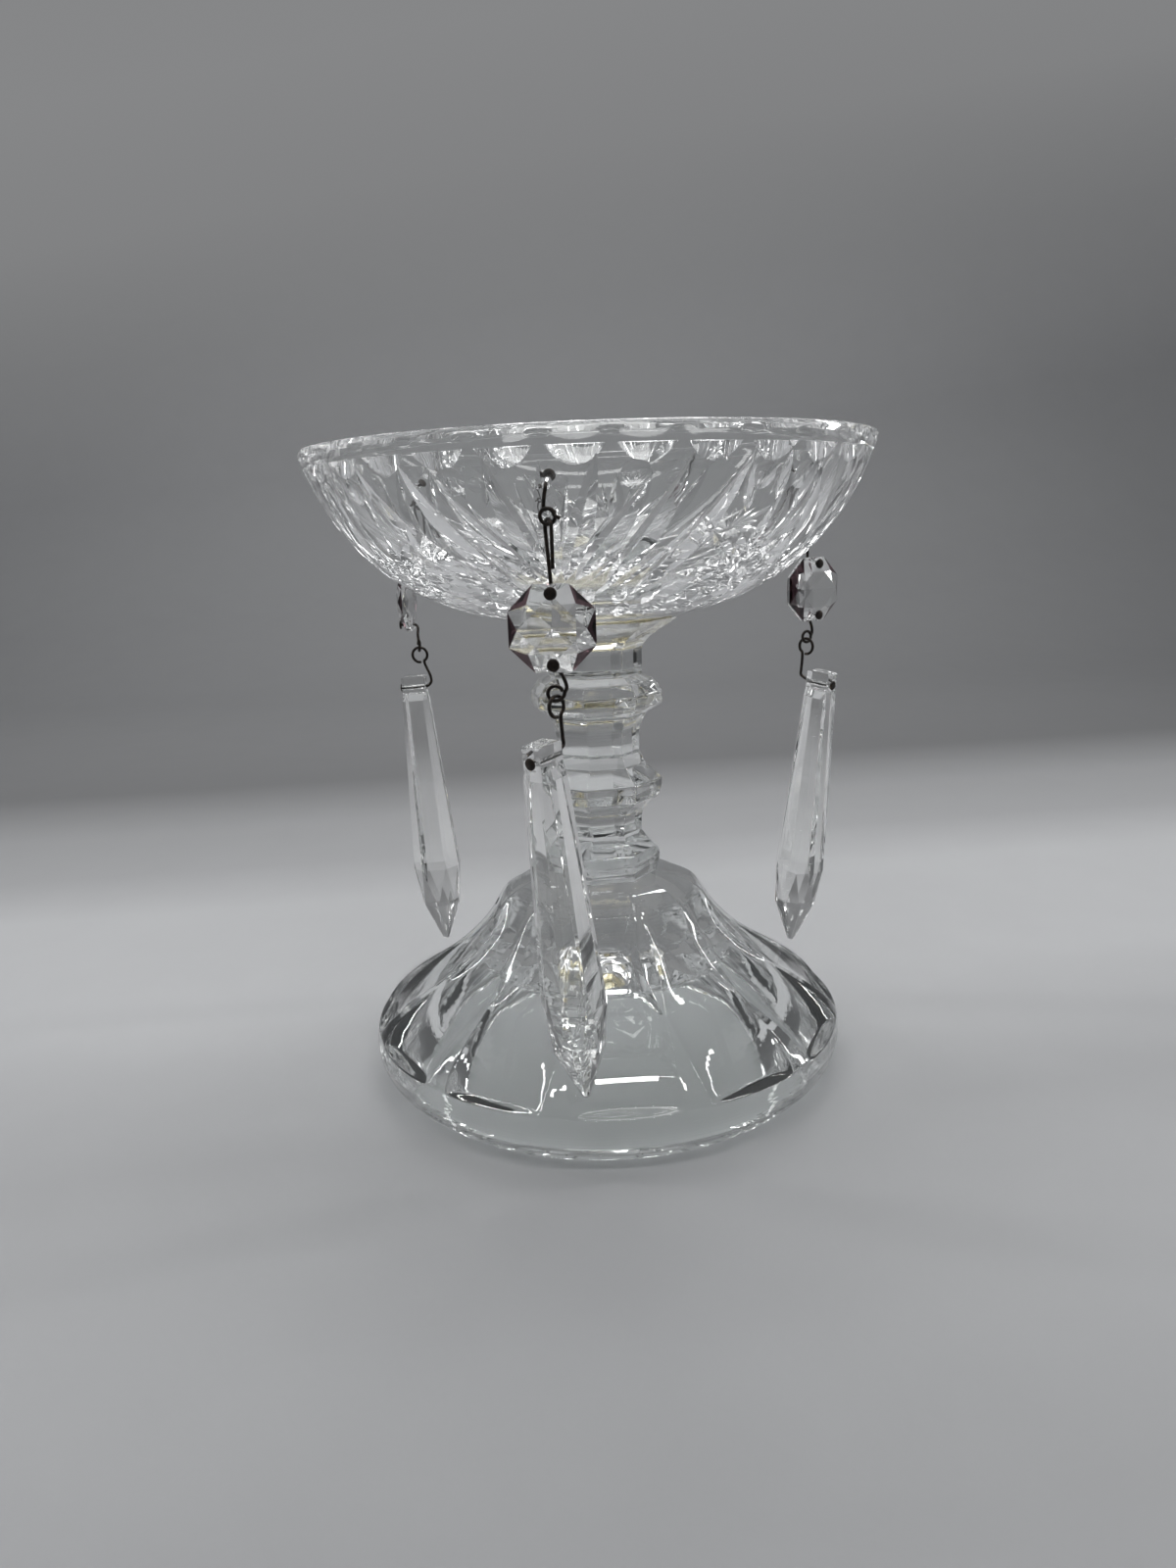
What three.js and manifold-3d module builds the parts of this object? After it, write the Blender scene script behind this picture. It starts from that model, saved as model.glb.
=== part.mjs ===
// Glass girandole: a wheel-cut bowl cemented on an eight-sided pressed candlestick, with three hanging
// pendants. Each pendant is a bent head pin through the bowl wall, a hairpin hanger, an octagon,
// two linked head pins and a spear prism. Millimetres, +Z up, origin at the centre of the foot's rest plane.
import * as THREE from 'three';
import { mergeVertices } from 'three/addons/utils/BufferGeometryUtils.js';
import Module from 'manifold-3d';

const wasm = await Module();
wasm.setup();

// Driving dimensions of the stand, whose foot has twelve panels
const STAND_TOP = 110.9;
const PANELS = 12;
const PANEL_TURN = 360 / PANELS;
const FIRST_CORNER = 18.5;
const FOOT_RING_OUTER = 51.5;
const FOOT_RING_INNER = 46.5;
const HOLLOW_BEND = 38;
const HOLLOW_TOP = 30.5;

// Stem from the cup down to its neck on the foot, as corner radius and height
const STEM_SIDES = 8;
const STEM_CORNER = -11;
const CUP = [[0, STAND_TOP], [20.2, STAND_TOP], [15.9, 108.3], [12.8, 106.1], [11.4, 104.2], [11.3, 97.8]];
const UPPER_KNOP = [[14.2, 96.4], [16.0, 93.7], [16.1, 90.8], [12.2, 88.5], [10.3, 84.6], [10.2, 79.2]];
const MIDDLE_KNOP = [[11.5, 76.1], [15.6, 72.5], [15.5, 70.7], [14.9, 68.3], [10.9, 64.8], [10.4, 63.0], [10.3, 59.3]];
const LOWER_KNOP = [[11.6, 57.4], [14.2, 54.9], [14.7, 53.4], [14.4, 51.2], [13.5, 49.1], [13.3, 48.4]];

// Fluted part of the foot from its top down: radius of the ridges, height, how far each flute reaches to
// either side of its middle in degrees, and how far it is hollowed under its chord
const FOOT_FLUTES = [
  [12.4, 49.0, 14.9, 0], [18, 47.9, 14.9, 0], [21.8, 46.3, 14.5, 0.1], [24.7, 44.4, 13.7, 0.3],
  [26.7, 41.5, 12.5, 0.6], [28.4, 38.4, 11.8, 0.9], [30.2, 36.0, 11.2, 1.2], [33.2, 32.7, 12.0, 1.3],
  [37, 29.2, 13.5, 1.5], [40.9, 26.4, 14.7, 1.6], [44.8, 24, 14.1, 1.7], [48.8, 21.5, 13.4, 1.8],
  [52.4, 19.0, 12.9, 1.8], [55.9, 15.7, 12.3, 1.9], [57.6, 13.3, 11.4, 1.9],
];
const FOOT_BAND = [[57.8, 12.8], [58.5, 9.4], [57.3, 4.8], [53, 0.7], [FOOT_RING_OUTER, 0]];
const FLUTE_ACROSS = [-1, -0.4, 0.4, 1];

// Driving dimensions of the bowl
const CEMENT_THICKNESS = 0.7;
const CEMENT_RADIUS = 18.6;
const BOWL_BOTTOM = STAND_TOP + CEMENT_THICKNESS;
const BOWL_FLOOR = 116.6;
const FLOOR_RADIUS = 18;
const TOTAL_HEIGHT = 150;
const RIM_RADIUS = 64.5;
const RIM_BAND = 2;
const RIM_DIP = 0.4;
const RIM_ROUNDING = 0.6;
const MOUTH_RADIUS = 61;
const BOWL_FOOT_RADIUS = 20.4;
const OUTER_BEND = [54, 117.3];
const INNER_BEND = [50.5, 120.6];
const MOONS = 31;
const MOON_TURN = 360 / MOONS;
const FIRST_MOON = -2;
const MOON_TOP = 146.2;
const MOON_HEIGHT = 6;
const MOON_DEPTH = 2;
const MOON_ROLLER = 13;
const BOWL_SIDES = 2 * MOONS;

// Wheel cuts of one motif. A leaf runs from its foot to its tip, each a turn from the palm's middle and a
// radius on the wall, and leaves off the middle come in pairs
const MOTIFS = 4;
const FIRST_MOTIF = -8;
const LEAVES = [
  [0, 47, 0, 62.6], [1.6, 46, 9.5, 63.2], [4, 46, 18, 60.6], [11, 44, 26, 63.2], [18.5, 41, 37, 63.2],
];
const LEAF_DEPTH = 1.5;
const LEAF_HALF_ANGLE = 60;
const STAR_RAYS = 10;
const STAR_RADIUS = 47;
const STAR_SWEEP = 17;
const STAR_CLIMB = 11;
const RAY_DEPTH = 0.9;
const LENS_TURN = 16;
const LENS_RADIUS = 61.3;
const LENS_BALL = 8;
const LENS_DEPTH = 0.6;
const PETALS = 20;
const PETAL_FROM = 27;
const PETAL_TO = 38;
const WHEEL_HALF_ANGLE = 52;
const WASTE_ABOVE = 0.5;

// Driving dimensions of the pendants
const WIRE = 0.65;
const WIRE_SIDES = 5;
const HEAD_SIDES = 10;
const LINK_GAP = 0.25;
const LINK_RISE = WIRE + LINK_GAP;
const PIN_HEAD = 2.4;
const PIN_HEAD_THICK = 0.6;
const HOLE = 1.3;
const HOOK_HOLE = 1.5;
const HOOK_RADIUS = 60.6;
const HOOK_SLOPE = 25;
const HOOK_INSIDE = 5.6;
const RING_RADIUS = 1.37;
const RING_LINK_RADIUS = 59.9;
const RING_LINK_HEIGHT = 132.83;
const HANGER_HALF = 1.27;
const HANGER_TAIL = 7.4;
const OCTAGON_ACROSS = 16;
const OCTAGON_HALF_THICK = 2.4;
const OCTAGON_HEIGHT = 114.4;
const OCTAGON_HOLE = 6.4;
const OCTAGON_AHEAD = 1.75;
const DROP_BEHIND = 1.95;
const HEAD_FRONT = 2.35;
const EYE_RADIUS = 1.4;
const EYE_LINK_HEIGHT = 100.8;
const PRISM_EYE_RADIUS = 2.0;
const PRISM_HOLE_DROP = 9.7;
const PRISM_LENGTH = 76;
const PRISM_HOLE_DEPTH = 3;
const PRISM_HEAD_FRONT = 3.3;
const PRISM_BEND = 4.1;

// Facet corners of the octagon as distance from its middle and ahead of it
const TABLE_CORNER = [4.76, OCTAGON_HALF_THICK];
const STAR_CORNER = [6.3, 1.87];
const BACK_CORNER = [6.6, -1.03];
const GIRDLE_HALF = 0.45;

// Rings of the prism as width, depth, cut corner and distance below its top
const PRISM_BLOCK = [[4.4, 5.8, 1, 0], [4.4, 6.2, 1, 0.4], [4.4, 6.2, 1, 4.6], [7.0, 6.8, 1, 6.4]];
const PRISM_WIDEST = [12.0, 12.3, 2.9, 54];
const PRISM_FLAT = 2.2;
const SPEAR_LEVEL = 65;
const SPEAR_SHARE = 0.86;
const TIP_SHARE = 0.13;

// Each pendant: place round the bowl, way the octagon faces, way the prism's pin points, and prism's lean
const PENDANTS = [
  { name: 'front', place: -7.2, octagonFaces: 0, prismFaces: -40, lean: 6.5 },
  { name: 'right', place: 112.8, octagonFaces: 31, prismFaces: 45, lean: 7 },
  { name: 'left', place: -127.2, octagonFaces: -90, prismFaces: -92, lean: 3 },
];

const clearGlass = new THREE.MeshStandardMaterial({ color: 0xdfe5e6, roughness: 0.06, metalness: 0 });
const cutGlass = new THREE.MeshStandardMaterial({ color: 0xe4e8e8, roughness: 0.05, metalness: 0 });
const crystal = new THREE.MeshStandardMaterial({ color: 0xd9dddb, roughness: 0.03, metalness: 0 });
const agedWire = new THREE.MeshStandardMaterial({ color: 0x2a231c, roughness: 0.55, metalness: 0.8 });
const oldCement = new THREE.MeshStandardMaterial({ color: 0xc9b27c, roughness: 0.4, metalness: 0 });

const radians = THREE.MathUtils.degToRad;
const UP = new THREE.Vector3(0, 0, 1);

// A level direction by its azimuth: 0 faces the viewer along -Y, and 90 points along +X
function facing(azimuth) {
  return new THREE.Vector3(Math.sin(radians(azimuth)), -Math.cos(radians(azimuth)), 0);
}

function sideways(azimuth) {
  return facing(azimuth + 90);
}

function weld(geometry) {
  const bare = geometry.clone();
  bare.deleteAttribute('normal');
  bare.deleteAttribute('uv');
  return mergeVertices(bare, 1e-4);
}

function toSolid(geometry) {
  const welded = weld(geometry);
  return new wasm.Manifold(new wasm.Mesh({
    numProp: 3,
    vertProperties: new Float32Array(welded.attributes.position.array),
    triVerts: new Uint32Array(welded.index.array),
  }));
}

function toGeometry(solid) {
  const mesh = solid.getMesh();
  const geometry = new THREE.BufferGeometry();
  geometry.setAttribute('position', new THREE.BufferAttribute(new Float32Array(mesh.vertProperties), 3));
  geometry.setIndex(new THREE.BufferAttribute(new Uint32Array(mesh.triVerts), 1));
  geometry.computeVertexNormals();
  return geometry;
}

function subtractAll(solid, cutters) {
  return cutters.reduce((left, cutter) => left.subtract(toSolid(cutter)), solid);
}

// A solid of revolution about Z from radius and height pairs
function revolve(pairs, sides, firstAzimuth = 0) {
  const points = pairs.map(([radius, height]) => new THREE.Vector2(radius, height));
  return new THREE.LatheGeometry(points, sides, radians(firstAzimuth)).rotateX(Math.PI / 2);
}

function massCentre(geometry) {
  const position = geometry.attributes.position;
  const index = geometry.index;
  const corner = [0, 1, 2].map(() => new THREE.Vector3());
  const sum = new THREE.Vector3();
  let volume = 0;
  for (let i = 0; i < index.count; i += 3) {
    corner.forEach((point, k) => point.fromBufferAttribute(position, index.getX(i + k)));
    const part = corner[0].dot(corner[1].clone().cross(corner[2])) / 6;
    volume += part;
    corner.forEach((point) => sum.addScaledVector(point, part / 4));
  }
  return { centre: sum.divideScalar(volume), volume };
}

// A closed skin through rings of equal count, drawn together to a point at each end
function loft(rings, start, end) {
  const count = rings[0].length;
  const positions = [...rings.flat(), start, end].flatMap((point) => [point.x, point.y, point.z]);
  const first = rings.length * count;
  const last = first - count;
  const index = [];
  for (let k = 0; k < count; k += 1) {
    const next = (k + 1) % count;
    index.push(first, next, k, first + 1, last + k, last + next);
    for (let ring = 0; ring + 1 < rings.length; ring += 1) {
      const a = ring * count + k;
      const b = ring * count + next;
      index.push(a, b, b + count, a, b + count, a + count);
    }
  }
  const geometry = new THREE.BufferGeometry();
  geometry.setAttribute('position', new THREE.Float32BufferAttribute(positions, 3));
  geometry.setIndex(index);
  return geometry;
}

// Eight-sided stem with a cup, two angular knops and a softer one
function stem() {
  const outline = [...CUP, ...UPPER_KNOP, ...MIDDLE_KNOP, ...LOWER_KNOP, [0, 48.4]];
  return revolve(outline.reverse(), STEM_SIDES, STEM_CORNER);
}

// One level ring of the foot, with the columns of each flute and its radius by the place across the flute
function footRing(height, reach, radiusAt) {
  const ring = [];
  for (let panel = 0; panel < PANELS; panel += 1) {
    const middle = FIRST_CORNER + (panel + 0.5) * PANEL_TURN;
    FLUTE_ACROSS.forEach((across) => {
      ring.push(facing(middle + across * reach).multiplyScalar(radiusAt(across)).setZ(height));
    });
  }
  return ring;
}

// Foot: twelve hollow flutes between ridges that narrow and widen again, on a plain round band
function foot() {
  const fluted = FOOT_FLUTES.map(([radius, height, reach, hollow]) => footRing(height, reach, (across) => {
    const chord = radius * Math.cos(radians(reach)) / Math.cos(radians(across * reach));
    return chord - hollow * (1 - across ** 2);
  }));
  const bandReach = FOOT_FLUTES[FOOT_FLUTES.length - 1][2];
  const band = FOOT_BAND.map(([radius, height]) => footRing(height, bandReach, () => radius));
  const top = new THREE.Vector3(0, 0, FOOT_FLUTES[0][1]);
  return loft([...fluted, ...band].reverse(), new THREE.Vector3(), top);
}

// The dome under the foot leaves a ring to stand on
function footHollow() {
  const roof = new THREE.QuadraticBezierCurve(new THREE.Vector2(FOOT_RING_INNER, 0),
    new THREE.Vector2(HOLLOW_BEND, HOLLOW_TOP), new THREE.Vector2(0, HOLLOW_TOP));
  const wall = roof.getPoints(6).map((point) => [point.x, point.y]);
  return revolve([[0, -1], [FOOT_RING_INNER, -1], ...wall], 2 * PANELS);
}

function candlestick() {
  return toGeometry(toSolid(stem()).add(toSolid(foot())).subtract(toSolid(footHollow())));
}

function cementDisc() {
  return revolve([[0, STAND_TOP], [CEMENT_RADIUS, STAND_TOP], [CEMENT_RADIUS + 0.3, STAND_TOP + 0.35],
    [CEMENT_RADIUS, BOWL_BOTTOM], [0, BOWL_BOTTOM]], 2 * PANELS);
}

// Outer wall of the bowl from its foot to the rim band, and inner wall from the floor to the rim
const outerWall = new THREE.QuadraticBezierCurve(
  new THREE.Vector2(BOWL_FOOT_RADIUS, BOWL_BOTTOM), new THREE.Vector2(...OUTER_BEND),
  new THREE.Vector2(RIM_RADIUS, TOTAL_HEIGHT - RIM_BAND));
const innerWall = new THREE.QuadraticBezierCurve(
  new THREE.Vector2(FLOOR_RADIUS, BOWL_FLOOR), new THREE.Vector2(...INNER_BEND),
  new THREE.Vector2(MOUTH_RADIUS, TOTAL_HEIGHT - RIM_ROUNDING));

function bowlBlank() {
  const outside = outerWall.getPoints(7).map((point) => [point.x, point.y]);
  const inside = innerWall.getPoints(4).map((point) => [point.x, point.y]).reverse();
  const rim = [[RIM_RADIUS, TOTAL_HEIGHT - RIM_ROUNDING], [RIM_RADIUS - RIM_ROUNDING, TOTAL_HEIGHT],
    [MOUTH_RADIUS + RIM_ROUNDING, TOTAL_HEIGHT]];
  const pairs = [[0, BOWL_BOTTOM], ...outside, ...rim, ...inside, [0, BOWL_FLOOR]];
  return scallopRim(revolve(pairs, BOWL_SIDES, FIRST_MOON + MOON_TURN / 2));
}

// The rim band dips in a little over the middle of each half moon
function scallopRim(geometry) {
  const position = geometry.attributes.position;
  for (let i = 0; i < position.count; i += 1) {
    const [x, y, z] = [position.getX(i), position.getY(i), position.getZ(i)];
    const azimuth = THREE.MathUtils.radToDeg(Math.atan2(x, -y));
    const phase = Math.cos(radians((azimuth - FIRST_MOON) * MOONS / 2)) ** 2;
    const onBand = Math.hypot(x, y) > RIM_RADIUS - 1 && z > TOTAL_HEIGHT - RIM_BAND - 0.1;
    const dip = onBand ? 1 - RIM_DIP * phase / RIM_RADIUS : 1;
    position.setXY(i, x * dip, y * dip);
  }
  return geometry;
}

// Where the outer wall has a given radius
function wallAt(radius) {
  let low = 0;
  let high = 1;
  for (let step = 0; step < 30; step += 1) {
    const middle = (low + high) / 2;
    if (outerWall.getPoint(middle).x < radius) low = middle;
    else high = middle;
  }
  const point = outerWall.getPoint(low);
  const tangent = outerWall.getTangent(low);
  return { height: point.y, rise: tangent.y, run: tangent.x };
}

function onWall(azimuth, radius) {
  const wall = wallAt(radius);
  const out = facing(azimuth);
  return {
    point: out.clone().multiplyScalar(radius).setZ(wall.height),
    normal: out.clone().multiplyScalar(wall.rise).addScaledVector(UP, -wall.run),
  };
}

// The waste of one V-edged wheel cut, a canoe whose keel dips under the wall between two places on it
function mitre(from, to, depth, halfAngle, stations) {
  const reach = Math.sqrt(1 + WASTE_ABOVE / depth);
  const spread = Math.tan(radians(halfAngle));
  const place = (t) => onWall(
    THREE.MathUtils.lerp(from[0], to[0], (1 + t) / 2),
    Math.min(THREE.MathUtils.lerp(from[1], to[1], (1 + t) / 2), RIM_RADIUS - 0.01));
  const along = place(0.1).point.sub(place(-0.1).point).normalize();
  const across = along.cross(place(0).normal).normalize();
  const keelAt = (t) => {
    const { point, normal } = place(t);
    return point.addScaledVector(normal, Math.min(depth * (t * t - 1), WASTE_ABOVE));
  };
  const rings = [];
  for (let k = 1; k <= stations; k += 1) {
    const t = reach * (2 * k / (stations + 1) - 1);
    const width = (WASTE_ABOVE - depth * (t * t - 1)) * spread;
    const ledge = place(t).point.addScaledVector(place(t).normal, WASTE_ABOVE);
    const left = ledge.clone().addScaledVector(across, -width);
    const right = ledge.clone().addScaledVector(across, width);
    rings.push([keelAt(t), left, right]);
  }
  return loft(rings, keelAt(-reach), keelAt(reach));
}

// Upright rollers set round the wall under the rim: each leaves a half moon with a level ledge on top
function rimCuts() {
  const cuts = [];
  for (let k = 0; k < MOONS; k += 1) {
    const place = facing(FIRST_MOON + k * MOON_TURN).multiplyScalar(RIM_RADIUS - MOON_DEPTH + MOON_ROLLER);
    const roller = new THREE.CylinderGeometry(MOON_ROLLER, MOON_ROLLER, MOON_HEIGHT, 20).rotateX(Math.PI / 2);
    cuts.push(roller.translate(place.x, place.y, MOON_TOP - MOON_HEIGHT / 2));
  }
  return cuts;
}

// A palm of long leaves that spread from its foot on the wall
function palmCuts(middle) {
  return LEAVES.flatMap(([footTurn, footRadius, tipTurn, tipRadius]) => {
    const sides = tipTurn === 0 ? [1] : [-1, 1];
    return sides.map((side) => mitre([middle + side * footTurn, footRadius],
      [middle + side * tipTurn, tipRadius], LEAF_DEPTH, LEAF_HALF_ANGLE, 3));
  });
}

// A star of thin rays that fills the field between two palms
function starCuts(middle) {
  const cuts = [];
  for (let k = 0; k < STAR_RAYS; k += 1) {
    const turn = 2 * Math.PI * k / STAR_RAYS;
    const sweep = Math.sin(turn) * STAR_SWEEP;
    const climb = Math.cos(turn) * STAR_CLIMB;
    cuts.push(mitre([middle + sweep * 0.1, STAR_RADIUS + climb * 0.1], [middle + sweep, STAR_RADIUS + climb],
      RAY_DEPTH, WHEEL_HALF_ANGLE, 1));
  }
  return cuts;
}

// Round hollow lenses between the upper leaves of a palm
function lensCuts(middle) {
  return [-LENS_TURN, LENS_TURN].map((side) => {
    const { point, normal } = onWall(middle + side, LENS_RADIUS);
    const place = point.addScaledVector(normal, LENS_BALL - LENS_DEPTH);
    return new THREE.SphereGeometry(LENS_BALL, 20, 12).translate(place.x, place.y, place.z);
  });
}

// A ring of short petals round the bottom of the bowl
function petalCuts() {
  const cuts = [];
  for (let k = 0; k < PETALS; k += 1) {
    const azimuth = FIRST_MOTIF + (k + 0.5) * 360 / PETALS;
    cuts.push(mitre([azimuth, PETAL_FROM], [azimuth, PETAL_TO], RAY_DEPTH, WHEEL_HALF_ANGLE, 1));
  }
  return cuts;
}

// The hole for a pendant's hook runs through the wall, a little downhill
function hookHole(place) {
  const spot = onWall(place, HOOK_RADIUS).point;
  const along = facing(place).multiplyScalar(Math.cos(radians(HOOK_SLOPE)))
    .addScaledVector(UP, -Math.sin(radians(HOOK_SLOPE)));
  return { spot, along };
}

function rodAlong(from, direction, length, radius, sides) {
  const rod = new THREE.CylinderGeometry(radius, radius, length, sides);
  rod.applyQuaternion(new THREE.Quaternion().setFromUnitVectors(new THREE.Vector3(0, 1, 0), direction));
  const middle = from.clone().addScaledVector(direction, length / 2);
  return rod.translate(middle.x, middle.y, middle.z);
}

function bowl() {
  const cuts = [...rimCuts(), ...petalCuts()];
  for (let k = 0; k < MOTIFS; k += 1) {
    const middle = FIRST_MOTIF + k * 360 / MOTIFS;
    cuts.push(...palmCuts(middle), ...starCuts(middle + 180 / MOTIFS), ...lensCuts(middle));
  }
  PENDANTS.forEach(({ place }) => {
    const { spot, along } = hookHole(place);
    cuts.push(rodAlong(spot.clone().addScaledVector(along, -9), along, 14, HOOK_HOLE / 2, 8));
  });
  return toGeometry(subtractAll(toSolid(bowlBlank()), cuts));
}

// A wire along a smooth line through the given places, with a flat pin head on its first end
function headedWire(places, headDirection, steps) {
  const section = new THREE.Shape();
  for (let k = 0; k < WIRE_SIDES; k += 1) {
    const turn = 2 * Math.PI * k / WIRE_SIDES;
    const method = k === 0 ? 'moveTo' : 'lineTo';
    section[method](Math.cos(turn) * WIRE / 2, Math.sin(turn) * WIRE / 2);
  }
  const line = new THREE.CatmullRomCurve3(places, false, 'centripetal');
  const tube = new THREE.ExtrudeGeometry(section, { steps, extrudePath: line, bevelEnabled: false });
  const back = headDirection.clone().negate();
  const disc = rodAlong(places[0], back, PIN_HEAD_THICK, PIN_HEAD / 2, HEAD_SIDES);
  return toGeometry(toSolid(tube).add(toSolid(disc)));
}

// Hook: headed pin through the wall, turned down outside and curled into a ring across the outward direction
function hook({ place }) {
  const hole = hookHole(place);
  const side = sideways(place);
  const centre = facing(place).multiplyScalar(RING_LINK_RADIUS).setZ(RING_LINK_HEIGHT + RING_RADIUS);
  const places = [
    hole.spot.clone().addScaledVector(hole.along, -HOOK_INSIDE),
    hole.spot.clone().addScaledVector(hole.along, -2.5),
    hole.spot.clone().addScaledVector(hole.along, 0.55),
  ];
  const turns = 16;
  for (let k = 0; k <= turns; k += 1) {
    const turn = radians(115 - 470 * k / turns);
    const forward = 0.8 * THREE.MathUtils.smoothstep(k / turns, 0.55, 0.8);
    places.push(centre.clone().addScaledVector(side, RING_RADIUS * Math.cos(turn))
      .addScaledVector(UP, RING_RADIUS * Math.sin(turn)).addScaledVector(facing(place), forward));
  }
  places.push(places[places.length - 1].clone().addScaledVector(side, 0.9).addScaledVector(UP, -0.5));
  return headedWire(places, hole.along, 30);
}

function linkPoint(place) {
  return facing(place).multiplyScalar(RING_LINK_RADIUS);
}

// Hanger: head in front of the octagon's top hole, up behind it, over the hook's ring and down to a free end
function hanger({ place, octagonFaces }) {
  const link = linkPoint(place);
  const face = facing(octagonFaces);
  const apart = facing(place + 35);
  const holeHeight = OCTAGON_HEIGHT + OCTAGON_HOLE;
  const bendHeight = RING_LINK_HEIGHT + LINK_RISE - HANGER_HALF;
  const at = (ahead, height) => link.clone().addScaledVector(face, ahead).setZ(height);
  const places = [
    at(OCTAGON_AHEAD + HEAD_FRONT, holeHeight), at(OCTAGON_AHEAD, holeHeight),
    at(OCTAGON_AHEAD - 1.35, holeHeight + 0.08), at(OCTAGON_AHEAD - DROP_BEHIND, holeHeight + 0.9),
    at(OCTAGON_AHEAD - DROP_BEHIND, holeHeight + 2.2),
  ];
  for (let k = 0; k <= 8; k += 1) {
    const turn = Math.PI * (1 - k / 8);
    places.push(link.clone().addScaledVector(apart, HANGER_HALF * Math.cos(turn))
      .setZ(bendHeight + HANGER_HALF * Math.sin(turn)));
  }
  places.push(link.clone().addScaledVector(apart, HANGER_HALF - 0.1).setZ(bendHeight - HANGER_TAIL));
  return headedWire(places, face.negate(), 24);
}

// Octagon crystal: table, star, kite and girdle facets in front, eight kites to a point behind
function octagon({ place, octagonFaces }) {
  const face = facing(octagonFaces);
  const side = sideways(octagonFaces);
  const centre = linkPoint(place).addScaledVector(face, OCTAGON_AHEAD).setZ(OCTAGON_HEIGHT);
  const cornerRadius = OCTAGON_ACROSS / 2 / Math.cos(Math.PI / 8);
  const at = (eighths, [radius, ahead]) => {
    const turn = Math.PI / 4 * eighths;
    return centre.clone().addScaledVector(side, radius * Math.sin(turn))
      .addScaledVector(UP, radius * Math.cos(turn)).addScaledVector(face, ahead);
  };
  const points = [];
  const index = [];
  for (let k = 0; k < 8; k += 1) {
    points.push(at(k + 0.5, TABLE_CORNER), at(k, STAR_CORNER), at(k + 0.5, [cornerRadius, GIRDLE_HALF]),
      at(k + 0.5, [cornerRadius, -GIRDLE_HALF]), at(k, BACK_CORNER));
  }
  points.push(at(0, [0, OCTAGON_HALF_THICK]), at(0, [0, -OCTAGON_HALF_THICK]));
  for (let k = 0; k < 8; k += 1) {
    const [table, star, upper, lower, back] = [0, 1, 2, 3, 4].map((row) => k * 5 + row);
    const next = ((k + 1) % 8) * 5;
    const [nextTable, nextStar, nextUpper, nextLower, nextBack] = [0, 1, 2, 3, 4].map((row) => next + row);
    index.push(40, nextTable, table, table, nextTable, nextStar);
    index.push(table, nextStar, upper, star, table, upper);
    index.push(nextStar, nextUpper, upper);
    index.push(upper, nextUpper, nextLower, upper, nextLower, lower);
    index.push(lower, nextLower, nextBack, 41, lower, nextBack, 41, back, lower);
  }
  const geometry = new THREE.BufferGeometry();
  geometry.setAttribute('position', new THREE.Float32BufferAttribute(
    points.flatMap((point) => [point.x, point.y, point.z]), 3));
  geometry.setIndex(index);
  const holes = [OCTAGON_HOLE, -OCTAGON_HOLE].map((height) => rodAlong(
    centre.clone().addScaledVector(UP, height).addScaledVector(face, -4), face, 8, HOLE / 2, 10));
  return toGeometry(subtractAll(toSolid(geometry), holes));
}

// Octagon pin: head in front of the bottom hole, bowed down behind and curled into an eye
function octagonPin({ place, octagonFaces }) {
  const link = linkPoint(place);
  const face = facing(octagonFaces);
  const side = sideways(octagonFaces);
  const holeHeight = OCTAGON_HEIGHT - OCTAGON_HOLE;
  const drop = OCTAGON_AHEAD - DROP_BEHIND;
  const at = (ahead, aside, height) => link.clone().addScaledVector(face, ahead)
    .addScaledVector(side, aside).setZ(height);
  const eyeHeight = EYE_LINK_HEIGHT + EYE_RADIUS;
  const places = [
    at(OCTAGON_AHEAD + HEAD_FRONT, 0, holeHeight), at(OCTAGON_AHEAD, 0, holeHeight),
    at(OCTAGON_AHEAD - 1.35, 0.02, holeHeight - 0.08), at(drop - 0.05, 0.3, holeHeight - 0.9),
    at(drop - 0.1, 1.5, holeHeight - 2.6), at(drop - 0.4, 2.15, eyeHeight + 0.9),
  ];
  for (let k = 0; k <= 14; k += 1) {
    const turn = radians(5 - 345 * k / 14);
    const behind = 0.4 * (1 - THREE.MathUtils.smoothstep(k / 14, 0, 0.25));
    const widen = 0.35 * (1 - THREE.MathUtils.smoothstep(k / 14, 0, 0.3));
    places.push(at(drop - behind, (EYE_RADIUS + widen) * Math.cos(turn),
      eyeHeight + EYE_RADIUS * Math.sin(turn)));
  }
  return headedWire(places, face.negate(), 27);
}

// Prism in its own upright frame: x across, y ahead along the pin, z up from the hole
function prismRing([width, depth, corner, level]) {
  const [w, d] = [width / 2, depth / 2];
  const outline = [[PRISM_FLAT, d], [w, d - corner], [w, corner - d], [PRISM_FLAT, -d],
    [-PRISM_FLAT, -d], [-w, corner - d], [-w, d - corner], [-PRISM_FLAT, d]];
  return outline.map(([x, y]) => new THREE.Vector3(x, y, PRISM_HOLE_DEPTH - level));
}

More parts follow.
